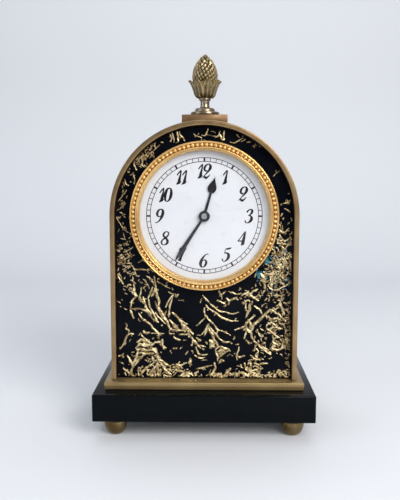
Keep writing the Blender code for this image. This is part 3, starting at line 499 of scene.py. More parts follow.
def stepped_slab(name, levels):
    """Plate on a CAD node's place, its edge at (inset, height) levels in mm all the way round."""
    mesh = bmesh.new()
    rows = []
    for inset, height in levels:
        x0, x1 = low(name).x + inset * MM, high(name).x - inset * MM
        y0, y1 = low(name).y + inset * MM, high(name).y - inset * MM
        z = low(name).z + height * MM
        corners = ((x0, y0, z), (x1, y0, z), (x1, y1, z), (x0, y1, z))
        rows.append([mesh.verts.new(corner) for corner in corners])
    bridge(mesh, rows)
    cap(mesh, rows)
    return mesh


def extruded(outline, y_front, y_back, bevel=0.0):
    """Plate cut to an outline of (x, z) points, its rims rounded when a bevel is given."""
    mesh = bmesh.new()
    face = mesh.faces.new([mesh.verts.new((x, y_front, z)) for x, z in outline])
    grown = bmesh.ops.extrude_face_region(mesh, geom=[face])["geom"]
    verts = [item for item in grown if isinstance(item, bmesh.types.BMVert)]
    bmesh.ops.translate(mesh, verts=verts, vec=(0, y_back - y_front, 0))
    if bevel:
        rounded(mesh, [e for e in mesh.edges
                       if abs(e.verts[0].co.y - e.verts[1].co.y) < 1e-9], bevel)
    return mesh


def sweep(stop, steps, first=0):
    """Angles up to stop degrees, in radians and in equal steps."""
    return [math.radians(stop) * step / steps for step in range(first, steps + 1)]


def arc(centre, radius, start, stop, steps):
    """Points on an arc, in degrees, both ends included."""
    angles = [math.radians(start) + turn for turn in sweep(stop - start, steps)]
    return [(centre[0] + radius * math.cos(a), centre[1] + radius * math.sin(a)) for a in angles]


def in_mm(points, base=0.0):
    """Points of (radius, height) or (half width, distance) in millimetres brought to metres."""
    return [(a * MM, base + b * MM) for a, b in points]


def smooth_line(points, steps):
    """Catmull-Rom curve through points of any length, with a number of steps for each span."""
    ends = [points[0]] + list(points) + [points[-1]]
    line = []
    for index in range(1, len(ends) - 2):
        p0, p1, p2, p3 = ends[index - 1:index + 3]
        for step in range(steps):
            t = step / steps
            line.append(tuple(
                0.5 * (2 * b + (c - a) * t + (2 * a - 5 * b + 4 * c - d) * t * t
                       + (3 * b - a - 3 * c + d) * t ** 3)
                for a, b, c, d in zip(p0, p1, p2, p3)))
    line.append(tuple(points[-1]))
    return line


# ---------------------------------------------------------------- case

ARCH_THICKNESS = 3.0 * MM
ARCH_ROUNDING = 0.5 * MM


def make_plinth():
    """Black block, and the moulded brass plate it stands on."""
    piece("plinth_visual", slab("plinth", 0.7 * MM), "black_stone", replaces=("plinth",))
    levels = ((0.6, 0.0), (0.35, 0.2), (0.24, 0.5), (0.08, 1.9), (0.3, 2.05), (0.3, 2.2),
              (0.0, 2.4), (0.0, 4.0), (0.1, 4.35), (0.35, 4.65), (0.8, 4.8))
    piece("base_plate_visual", stepped_slab("base_plate", levels), "plate_brass",
          replaces=("base_plate",))


def make_feet():
    """Turned feet: a round belly, a narrower neck and a collar under the case."""
    tall = low("plinth").z - 0.2 * MM
    for place in ("front_left", "front_right", "rear_left", "rear_right"):
        name = "foot_" + place
        centre, radius = middle(name), half_width(name)
        flat, neck, collar, widest = 0.36 * radius, 0.74 * radius, 0.80 * radius, 0.68 * tall
        profile = [(0, 0)]
        profile += [(flat + (radius - flat) * math.sin(a), widest * (1 - math.cos(a)))
                    for a in sweep(90, 14)]
        profile += [(neck + (radius - neck) * math.cos(a), widest + 0.22 * tall * math.sin(a))
                    for a in sweep(90, 8, 1)]
        profile += [(neck, 0.93 * tall), (collar, 0.94 * tall), (collar, tall), (0, tall)]
        mesh = turned(profile, 48, centre=(centre.x, centre.y, 0))
        piece(name + "_visual", mesh, "foot_brass", replaces=(name,))


def make_arch():
    """Band swept along the arch, with rounded edges at the front and the back."""
    foot = low("arch_band").z
    front, back = low("arch_band").y + ARCH_ROUNDING, high("arch_band").y - ARCH_ROUNDING
    outer = half_width("arch_band") - ARCH_ROUNDING
    inner = half_width("arch_band") - ARCH_THICKNESS + ARCH_ROUNDING
    section = []
    for centre, start in (((outer, front), -90), ((outer, back), 0), ((inner, back), 90),
                          ((inner, front), 180)):
        section += arc(centre, ARCH_ROUNDING, start, start + 90, 4)
    stations = [(math.pi, foot)]
    stations += [(math.pi - turn, AXIS.z) for turn in sweep(180, 96)]
    stations += [(0, foot)]
    mesh = bmesh.new()
    rows = [[mesh.verts.new((r * math.cos(angle), y, height + r * math.sin(angle)))
             for r, y in section] for angle, height in stations]
    bridge(mesh, rows)
    cap(mesh, rows)
    piece("arch_band_visual", mesh, "case_brass", replaces=("arch_band",))


# ---------------------------------------------------------------- finial

def make_finial_block():
    """Small block whose underside follows the arch."""
    corner_low, corner_high = low("finial_block"), high("finial_block")
    outer = half_width("arch_band") + 0.15 * MM
    half, top = corner_high.x, corner_high.z
    reach = math.degrees(math.asin(half / outer))
    outline = arc((0, AXIS.z), outer, 90 + reach, 90 - reach, 24) + [(half, top), (-half, top)]
    mesh = extruded(outline, corner_low.y, corner_high.y)
    rounded(mesh, [e for e in mesh.edges if e.calc_face_angle(0) > math.radians(40)], 0.35 * MM)
    piece("finial_block_visual", mesh, "block_brass", replaces=("finial_block",))


def make_finial_foot():
    """Turned foot of the finial: a stepped disc, a slender neck and a collar."""
    shape = ((0, 0), (8.7, 0), (9.15, 0.25), (9.3, 0.8), (9.3, 1.4), (9.1, 1.95), (8.5, 2.3),
             (7.2, 2.5), (6.6, 2.65), (6.45, 3.1), (6.35, 3.8), (6.0, 4.35), (5.2, 4.65),
             (3.8, 4.85), (3.2, 5.15), (2.95, 5.9), (2.85, 7.0), (2.9, 8.4), (3.1, 9.2),
             (3.55, 9.55), (3.8, 9.95), (3.85, 10.5), (3.6, 11.0), (3.2, 11.2), (0, 11.2))
    piece("finial_foot_visual", turned(in_mm(shape, low("finial_foot").z), 64), "worn_plate",
          replaces=("finial_foot",))


LEAF_COUNT = 8

# Side view of a leaf from its root to its rolled tip: (radius, height), in millimetres
LEAF_PATH = ((4.2, 0.2), (5.3, 0.7), (6.2, 2.1), (6.95, 4.4), (7.9, 6.6), (8.8, 8.6), (9.6, 9.9),
             (10.15, 10.25), (10.35, 9.8), (10.2, 9.2))


def round_the_edge(sheet):
    """Points of a sheet of rows, taken once round its edge."""
    return ([row[0] for row in sheet] + sheet[-1][1:] + [row[-1] for row in sheet[-2::-1]]
            + sheet[0][-2:0:-1])


def leaf(mesh, layer, turn, base, half, inset):
    """One closed leaf of the calyx: a fluted blade with raised rims that rolls out at its tip."""
    across, thick = 16, 0.5 * MM    # spans from rim to rim, and thickness
    path = smooth_line([(r - inset, h * (1 - 0.1 * inset)) for r, h in LEAF_PATH], 3)
    count = len(path) - 1
    travel = [0.0]
    for here, there in zip(path, path[1:]):
        travel.append(travel[-1] + math.dist(here, there))
    sheets = [[], []]
    for j, (r, h) in enumerate(path):
        before, after = path[max(j - 1, 0)], path[min(j + 1, count)]
        along = Vector((after[0] - before[0], after[1] - before[1])).normalized()
        share = travel[j] / travel[-1]
        wide = half * (0.74 + 0.26 * math.sin(math.pi * min(share, 0.5)))
        if share > 0.5:
            wide *= 1 - 0.92 * ((share - 0.5) / 0.5) ** 1.9
        rows = ([], [])
        for i in range(across + 1):
            u = 2 * i / across - 1
            rim = math.exp(-((abs(u) - 0.86) / 0.13) ** 2)
            rib = math.exp(-(u / 0.14) ** 2)
            flute = 0.5 + 0.5 * math.cos(6 * math.pi * u)
            relief = (0.42 * rim + 0.36 * rib + 0.14 * flute) * (1 - 0.5 * share) - 0.45 * u * u
            for side in (0, 1):
                lift = relief * MM + (0 if side else thick)
                out = r * MM + along.y * lift
                height = base + h * MM - along.x * lift
                angle = turn + wide * u / (r * MM)
                vert = mesh.verts.new((out * math.cos(angle), out * math.sin(angle), height))
                # Painted shade: marked darker in the flutes than on the rims and the rib, and less
                # so towards the tip
                raised = 0.42 * rim + 0.36 * rib + 0.05 * flute
                vert[layer] = max(0.0, 0.95 - 2.0 * raised) * (1 - 0.55 * share)
                rows[side].append(vert)
        sheets[0].append(rows[0])
        sheets[1].append(rows[1])
    for sheet in sheets:
        bridge(mesh, sheet, rings=False)
    bridge(mesh, [round_the_edge(sheet) for sheet in sheets])


def make_calyx():
    """Two rings of leaves, the inner ones seen between the outer ones, round a plain cup."""
    base = low("finial_calyx").z
    mesh = bmesh.new()
    # Marks where the leaves take painted shade
    layer = mesh.verts.layers.float.new("hollow")
    for step in range(LEAF_COUNT):
        turn = 2 * math.pi * (step + 0.28) / LEAF_COUNT
        leaf(mesh, layer, turn + math.pi / LEAF_COUNT, base, 2.5 * MM, 1.0)
        leaf(mesh, layer, turn, base, 3.0 * MM, 0.0)
    piece("finial_leaves", mesh, "cast_brass", replaces=("finial_calyx",), smooth=70)
    cup = ((0, 0), (4.0, 0), (4.5, 0.25), (4.9, 0.9), (5.4, 2.2), (6.0, 4.4), (6.9, 6.6),
           (7.5, 8.0), (7.1, 7.8), (5.6, 4.4), (4.6, 1.9), (0, 1.6))
    piece("finial_cup", turned(in_mm(cup, base), 48), "cast_brass")


CONE_SHOULDER = 14.0 * MM           # from the tip down to the widest place
CONE_SKIRT = 11.3 * MM              # from there down to the bottom
CONE_CORE = 7.35 * MM
CONE_TIP_GAP = 0.25 * MM            # room for the topmost scales under the CAD tip
SCALE_COUNT = 140
SCALE_SIZE = 1.38 * MM
GOLDEN_ANGLE = math.pi * (3 - math.sqrt(5))

# Rings of a scale from its root outwards: width, height and upward shift, in shares of its size
SCALE_RINGS = ((1.05, -0.40, -0.05), (0.92, 0.12, 0.0), (0.62, 0.40, 0.14), (0.26, 0.58, 0.34))


def cone_radius(drop):
    """Radius of the cone's core at a distance below its tip."""
    if drop < CONE_SHOULDER:
        return CONE_CORE * (1 - (1 - max(drop, 0.0) / CONE_SHOULDER) ** 2.1)
    return CONE_CORE * (1 - 0.6 * ((drop - CONE_SHOULDER) / CONE_SKIRT) ** 2.2)


def make_cone():
    """Egg-shaped core, with scales on a spiral that covers it evenly."""
    base, tip = low("finial_cone").z, high("finial_cone").z - CONE_TIP_GAP
    core = [(0, tip)] + [(cone_radius(step * MM), tip - step * MM) for step in range(1, 25)]
    mesh = turned(core + [(0, base)], 36)
    layer = mesh.verts.layers.float.new("hollow")
    # Painted shade: the core between the scales is marked fully dark
    for vert in mesh.verts:
        vert[layer] = 1.0
    covered, total = [], 0.0
    for step in range(190):
        drop = 0.1 * MM * (step + 0.5)
        total += cone_radius(drop)
        covered.append((total, drop))
    for index in range(SCALE_COUNT):
        wanted = total * (index + 0.4) / SCALE_COUNT
        drop = next(place for amount, place in covered if amount >= wanted)
        size = SCALE_SIZE * min(1.0, 0.60 + drop / (10 * MM))
        cone_scale(mesh, layer, GOLDEN_ANGLE * index, drop, tip, size)
    piece("finial_cone_visual", mesh, "cast_brass", replaces=("finial_cone",), smooth=24)


def cone_scale(mesh, layer, turn, drop, tip, size):
    """One pointed scale: a rhombic boss whose keel stands out and upwards."""
    radius = cone_radius(drop)
    slope = (cone_radius(drop + 0.3 * MM) - cone_radius(drop - 0.3 * MM)) / (0.6 * MM)
    outward = Vector((math.cos(turn), math.sin(turn), slope)).normalized()
    sideways = Vector((-math.sin(turn), math.cos(turn), 0))
    upward = outward.cross(sideways)
    if upward.z < 0:
        upward.negate()
    centre = Vector((radius * math.cos(turn), radius * math.sin(turn), tip - drop))
    corners = range(8)
    rows = []
    for grow, lift, shift in SCALE_RINGS:
        row = []
        for corner in corners:
            angle = math.pi / 4 * corner
            point = grow * (1.0 if corner % 2 == 0 else 0.74)
            side = 0.90 * point * math.cos(angle) * size
            rise = (1.22 * point * math.sin(angle) + shift) * size
            vert = mesh.verts.new(centre + sideways * side + upward * rise
                                  + outward * lift * size)
            # Painted shade: the root ring is marked fully dark, the raised rings less the further
            # they stand out
            vert[layer] = 1.0 if lift < 0.1 else max(0.0, 0.75 - 1.6 * lift)
            row.append(vert)
        rows.append(row)
    bridge(mesh, rows)
    peak = mesh.verts.new(centre + upward * 0.46 * size + outward * 0.60 * size)
    root = mesh.verts.new(centre - outward * 0.55 * size)
    for corner in corners:
        after = (corner + 1) % len(corners)
        mesh.faces.new((rows[-1][corner], rows[-1][after], peak))
        mesh.faces.new((rows[0][after], rows[0][corner], root))


# ---------------------------------------------------------------- bezel and crystal

BEAD_COUNT = 98
BEAD_RING = 43.0 * MM
BEAD_RADIUS = 1.16 * MM


def make_bezel():
    """Gilt ring with a hollow for the row of beads and a rolled lip inside it."""
    outer, inner, seat = half_width("bezel"), 40.3 * MM, 41.5 * MM
    front, back = low("bezel").y, high("bezel").y
    profile = [(outer, back), (outer, front + 2.6 * MM)]
    profile += [(outer - 0.8 * MM * (1 - math.cos(a)), front + (2.6 - 1.7 * math.sin(a)) * MM)
                for a in sweep(135, 9, 1)]
    profile += [(BEAD_RING + out * MM, front + deep * MM)
                for out, deep in ((1.15, 1.9), (0.6, 2.3), (-0.6, 2.3), (-1.1, 1.7))]
    profile += in_mm(((41.75, 0.35), (41.55, 0.05), (41.3, 0), (41.05, 0.12)), front)
    profile += [(inner + 0.75 * MM * (1 - math.sin(a)), front + (1.8 - 1.3 * math.cos(a)) * MM)
                for a in sweep(90, 6, 1)]
    profile += [(inner, front + 2.1 * MM), (seat, front + 2.1 * MM), (seat, back)]
    mesh = turned_level(profile, 160)
    # Painted shade: the channel behind the beads is marked for the darker gilt colour
    layer = mesh.verts.layers.float.new("hollow")
    for vert in mesh.verts:
        out = math.hypot(vert.co.x, vert.co.z - AXIS.z) - BEAD_RING
        vert[layer] = 1.0 if abs(out) < 1.2 * MM and vert.co.y > front + 1.6 * MM else 0.0
    piece("bezel_ring", mesh, "gilt", replaces=("bezel",), smooth=50)

    beads = bmesh.new()
    for step in range(BEAD_COUNT):
        angle = 2 * math.pi * step / BEAD_COUNT
        spot = AXIS + Vector((BEAD_RING * math.cos(angle), front + 1.75 * MM,
                              BEAD_RING * math.sin(angle)))
        bmesh.ops.create_icosphere(beads, subdivisions=2, radius=BEAD_RADIUS,
                                   matrix=Matrix.Translation(spot))
    piece("bezel_beads", beads, "gilt", smooth=80)


def make_crystal():
    """Domed crystal, and the gilt ring that holds it."""
    radius, dome = half_width("glass"), 1.6 * MM
    front, back = low("glass").y, high("glass").y
    face = [(radius * step / 12, front + dome * (step / 12) ** 2) for step in range(13)]
    profile = face + [(r, y + back - front - dome) for r, y in reversed(face)]
    piece("crystal", turned_level(profile, 96, closed=False), "clear_glass", replaces=("glass",),
          smooth=40)

    outer, inner, lip = half_width("glass_ring"), 39.4 * MM, 0.9 * MM
    front, back = low("glass_ring").y, high("glass_ring").y
    profile = [(outer, back), (outer, front), (inner + lip, front)]
    profile += [(inner + lip * (1 - math.sin(a)), front + (back - front) * (1 - math.cos(a)))
                for a in sweep(90, 6, 1)]
    piece("crystal_ring", turned_level(profile, 128), "gilt", replaces=("glass_ring",))


# ---------------------------------------------------------------- dial

TRACK_OUTER = 35.4 * MM
TRACK_INNER = 33.1 * MM
LINE = 0.42 * MM                    # width of the track's two circles
PRINT = 0.03 * MM                   # thickness of the printing
OVERPRINT = 0.004 * MM              # by which the minute marks stand over the circles
NUMERAL_RING = 27.4 * MM
NUMERAL_HEIGHT = 8.2 * MM
NUMERAL_SLANT = 0.20
NUMERAL_WEIGHT = 1.42

# Strokes of the numerals: (x, y, half thickness) in a box one high; each stroke is a smooth line
STROKES = {
    "1": [[(0.02, 0.62, 0.030), (0.10, 0.78, 0.034), (0.27, 0.99, 0.045)],
          [(0.27, 0.97, 0.030), (0.27, 0.70, 0.040), (0.26, 0.40, 0.062), (0.26, 0.16, 0.085)],
          [(0.42, 0.16, 0.012), (0.28, 0.10, 0.075), (0.16, 0.0, 0.045), (0.09, -0.06, 0.012)]],
    "2": [[(0.27, 0.55, 0.025), (0.19, 0.50, 0.045), (0.08, 0.58, 0.055), (0.05, 0.74, 0.060),
           (0.13, 0.92, 0.045), (0.28, 1.0, 0.028), (0.43, 0.92, 0.055), (0.48, 0.74, 0.075),
           (0.40, 0.52, 0.055), (0.22, 0.26, 0.030), (0.08, 0.05, 0.022), (0.02, -0.02, 0.015)],
          [(0.06, 0.04, 0.020), (0.16, 0.07, 0.050), (0.28, -0.01, 0.065), (0.42, 0.06, 0.040),
           (0.55, 0.24, 0.020)]],
    "3": [[(0.06, 0.78, 0.050), (0.14, 0.93, 0.035), (0.29, 1.0, 0.030), (0.42, 0.92, 0.058),
           (0.42, 0.75, 0.060), (0.31, 0.60, 0.030), (0.20, 0.54, 0.020)],
          [(0.22, 0.55, 0.020), (0.40, 0.50, 0.045), (0.50, 0.32, 0.078), (0.44, 0.12, 0.065),
           (0.27, 0.0, 0.028), (0.11, 0.03, 0.030), (0.05, 0.18, 0.042)]],
    "4": [[(0.44, 1.0, 0.026), (0.28, 0.72, 0.024), (0.10, 0.40, 0.024), (0.0, 0.27, 0.022)],
          [(0.0, 0.27, 0.032), (0.25, 0.27, 0.034), (0.55, 0.27, 0.030)],
          [(0.44, 0.98, 0.030), (0.43, 0.60, 0.065), (0.42, 0.20, 0.078), (0.42, 0.06, 0.080)],
          [(0.56, 0.12, 0.012), (0.42, 0.04, 0.065), (0.30, -0.05, 0.015)]],
    "5": [[(0.14, 0.93, 0.030), (0.30, 0.94, 0.050), (0.46, 0.98, 0.040), (0.54, 1.04, 0.014)],
          [(0.15, 0.94, 0.022), (0.12, 0.75, 0.020), (0.10, 0.60, 0.020)],
          [(0.10, 0.60, 0.018), (0.28, 0.62, 0.045), (0.44, 0.48, 0.075), (0.45, 0.24, 0.072),
           (0.32, 0.04, 0.035), (0.16, 0.0, 0.025), (0.05, 0.10, 0.032), (0.03, 0.20, 0.040)]],
    "6": [[(0.50, 0.99, 0.026), (0.36, 0.98, 0.024), (0.19, 0.80, 0.045), (0.07, 0.52, 0.070),
           (0.05, 0.26, 0.078), (0.14, 0.05, 0.055), (0.28, 0.0, 0.028), (0.42, 0.12, 0.055),
           (0.46, 0.34, 0.065), (0.36, 0.52, 0.040), (0.22, 0.52, 0.024), (0.10, 0.38, 0.018)]],
    "7": [[(0.02, 0.80, 0.020), (0.08, 0.95, 0.040), (0.22, 0.95, 0.058), (0.36, 0.90, 0.050),
           (0.52, 0.99, 0.022)],
          [(0.51, 0.98, 0.022), (0.40, 0.72, 0.030), (0.27, 0.40, 0.055), (0.20, 0.12, 0.080),
           (0.19, 0.0, 0.078)]],
    "8": [[(0.27, 0.54, 0.050), (0.10, 0.66, 0.052), (0.08, 0.86, 0.050), (0.25, 1.0, 0.026),
           (0.42, 0.90, 0.040), (0.41, 0.70, 0.040), (0.27, 0.54, 0.050), (0.08, 0.38, 0.040),
           (0.02, 0.20, 0.048), (0.12, 0.03, 0.035), (0.27, 0.0, 0.026), (0.44, 0.10, 0.058),
           (0.46, 0.30, 0.068), (0.27, 0.54, 0.050)]],
    "9": [[(0.46, 0.62, 0.018), (0.34, 0.48, 0.024), (0.20, 0.47, 0.040), (0.08, 0.62, 0.065),
           (0.11, 0.88, 0.055), (0.26, 1.0, 0.028), (0.42, 0.93, 0.055), (0.49, 0.72, 0.078),
           (0.46, 0.45, 0.070), (0.34, 0.16, 0.042), (0.18, 0.01, 0.024), (0.05, 0.0, 0.026)]],
    "0": [[(0.27, 1.0, 0.026), (0.12, 0.88, 0.055), (0.05, 0.52, 0.080), (0.12, 0.14, 0.055),
           (0.27, 0.0, 0.026), (0.43, 0.13, 0.055), (0.49, 0.49, 0.080), (0.42, 0.86, 0.055),
           (0.27, 1.0, 0.026)]],
}
ADVANCE, ADVANCE_OF_ONE = 0.56, 0.40
NUMERAL_SHIFTS = {1: (-1.0, 0.0), 4: (-0.6, 0.3), 10: (0.1, -0.7)}     # in millimetres


def ribbon(mesh, line, front, back):
    """Flat closed band along (x, z, half width) points, capped flat at both ends."""
    sides = []
    for index, (x, z, half) in enumerate(line):
        before, after = line[max(index - 1, 0)], line[min(index + 1, len(line) - 1)]
        way = Vector((after[0] - before[0], after[1] - before[1]))
        if way.length < 1e-12:
            continue
        way.normalize()
        sides.append(((x - way.y * half, z + way.x * half), (x + way.y * half, z - way.x * half)))
    rows = [[mesh.verts.new((x, y, z)) for (x, z), y in
             ((left, front), (right, front), (right, back), (left, back))]
            for left, right in sides]
    bridge(mesh, rows)
    cap(mesh, rows)


def numeral(mesh, text, centre, front):
    """Digits side by side, upright, with their middle at a place on the dial."""
    widths = [ADVANCE_OF_ONE if digit == "1" else ADVANCE for digit in text]
    left = -sum(widths) / 2
    for digit, width in zip(text, widths):
        for order, stroke in enumerate(STROKES[digit]):
            lift = 0.002 * MM * order
            line = []
            for x, y, half in smooth_line(stroke, 6):
                slanted = x + left + NUMERAL_SLANT * (y - 0.5)
                line.append((centre[0] + slanted * NUMERAL_HEIGHT,
                             centre[1] + (y - 0.5) * NUMERAL_HEIGHT,
                             half * NUMERAL_WEIGHT * NUMERAL_HEIGHT))
            ribbon(mesh, line, front - PRINT - lift, front)
        left += width


def ring_print(mesh, radius, front):
    """Printed circle, one line wide."""
    inner, outer = radius - LINE / 2, radius + LINE / 2
    section = ((inner, front), (outer, front), (outer, front - PRINT), (inner, front - PRINT))
    rows = [[mesh.verts.new((r * math.cos(angle), y, AXIS.z + r * math.sin(angle)))
             for r, y in section] for angle in sweep(360, 180)[:-1]]
    bridge(mesh, rows, loop=True)


def make_dial():
    """White plate with a hole for the arbor, printed with a minute track and numerals."""
    front, back = low("dial").y, high("dial").y
    outer, hole = half_width("dial"), 2.7 * MM
    profile = [(hole, back), (outer, back), (outer, front), (hole + 0.2 * MM, front),
               (hole, front + 0.2 * MM)]
    piece("dial_plate", turned_level(profile, 128), "dial_white", replaces=("dial",))

    mesh = bmesh.new()
    ring_print(mesh, TRACK_OUTER, front)
    ring_print(mesh, TRACK_INNER, front)
    for minute in range(60):
        angle = math.radians(90 - 6 * minute)
        inwards, outwards, half = (0.25, 0.10, 0.54) if minute % 5 == 0 else (0, 0, 0.19)
        line = [(r * math.cos(angle), AXIS.z + r * math.sin(angle), half * MM)
                for r in (TRACK_INNER - inwards * MM, TRACK_OUTER + outwards * MM)]
        ribbon(mesh, line, front - PRINT - OVERPRINT, front)
    for hour in range(1, 13):
        angle = math.radians(90 - 30 * hour)
        dx, dz = NUMERAL_SHIFTS.get(hour, (0.0, 0.0))
        centre = (NUMERAL_RING * math.cos(angle) + dx * MM,
                  AXIS.z + NUMERAL_RING * math.sin(angle) + dz * MM)
        numeral(mesh, str(hour), centre, front)
    piece("dial_print", mesh, "ink")


# ---------------------------------------------------------------- hands

MINUTE_HAND_TURN = 213.0            # degrees clockwise, as the CAD hands stand
HOUR_HAND_TURN = 15.5
RIDGE = 0.16 * MM                   # how far a hand's middle stands over its edges


def blade(name, stations, degrees):
    """Hand on a CAD node's place, of (half width, distance) stations in mm, with a ridge."""
    front, back = low(name).y, high(name).y
    angle = -math.radians(degrees)
    mesh = bmesh.new()
    rows = []
    for half, distance in in_mm(stations):
        section = ((-half, back), (-half, front + RIDGE), (0, front), (half, front + RIDGE),
                   (half, back))
        rows.append([mesh.verts.new((x * math.cos(angle) - distance * math.sin(angle), y,
                                     AXIS.z + x * math.sin(angle) + distance * math.cos(angle)))
                     for x, y in section])
    bridge(mesh, rows)
    cap(mesh, rows)
    return mesh


def make_hands():
    """Spade hour hand, leaf-shaped minute hand, their hubs, the washer and the arbor's tip."""
    front, back = low("hour_hand").y, high("hour_hand").y
    neck, spade, belly, widest, taper = 0.70, 2.65, 3.1, 17.8, 7.1
    stations = [(0.85, 2.6), (0.78, 6.0), (neck, widest - belly)]
    stations += [(neck + (spade - neck) * math.sin(a), widest - belly * math.cos(a))
                 for a in sweep(90, 7, 1)]
    stations += [(0.05 + spade * (0.36 * (1 + math.cos(math.pi * t ** 0.9)) + 0.28 * (1 - t)),
                  widest + t * taper) for t in [step / 12 for step in range(1, 13)]]
    piece("hour_hand_visual", blade("hour_hand", stations, HOUR_HAND_TURN), "hand_black", "hour",
          ("hour_hand",))
    hub = in_mm(((2.35, 0), (3.1, 0), (3.25, -0.15)), back)
    hub += in_mm(((3.25, 0.1), (3.1, -0.05), (2.35, -0.05)), front)
    piece("hour_hand_hub", turned_level(hub, 48), "hand_black", "hour")

    front, back = low("minute_hand").y, high("minute_hand").y
    stations = ((0.70, 2.6), (0.78, 6.0), (0.92, 12.0), (1.08, 18.0), (1.20, 22.5), (1.23, 25.0),
                (1.14, 27.0), (0.94, 28.8), (0.68, 30.4), (0.36, 31.8), (0.05, 32.7))
    piece("minute_hand_visual", blade("minute_hand", stations, MINUTE_HAND_TURN), "hand_black",
          "minute", ("minute_hand",), smooth=12)
    rim = [(2.55 + 0.85 * math.cos(a), 0.10 - 0.35 * math.sin(a)) for a in sweep(180, 10)]
    hub = in_mm(((1.5, 0), (3.2, 0)), back) + in_mm(rim + [(1.5, 0.10)], front)
    piece("minute_hand_hub", turned_level(hub, 64), "hand_black", "minute")

    washer = ((0.72, 0.3), (1.80, 0.3), (1.80, -0.12), (1.66, -0.26), (0.72, -0.30))
    piece("hand_washer", turned_level(in_mm(washer, front), 48), "steel", "minute")
    pin = in_mm(((0, 0.3), (0.62, 0.3)), front)
    pin += in_mm(((0.62, 0.2), (0.45, 0), (0, 0)), low("centre_arbor").y)
    piece("arbor_tip", turned_level(pin, 32, closed=False), "steel", "minute")


# ---------------------------------------------------------------- front panel

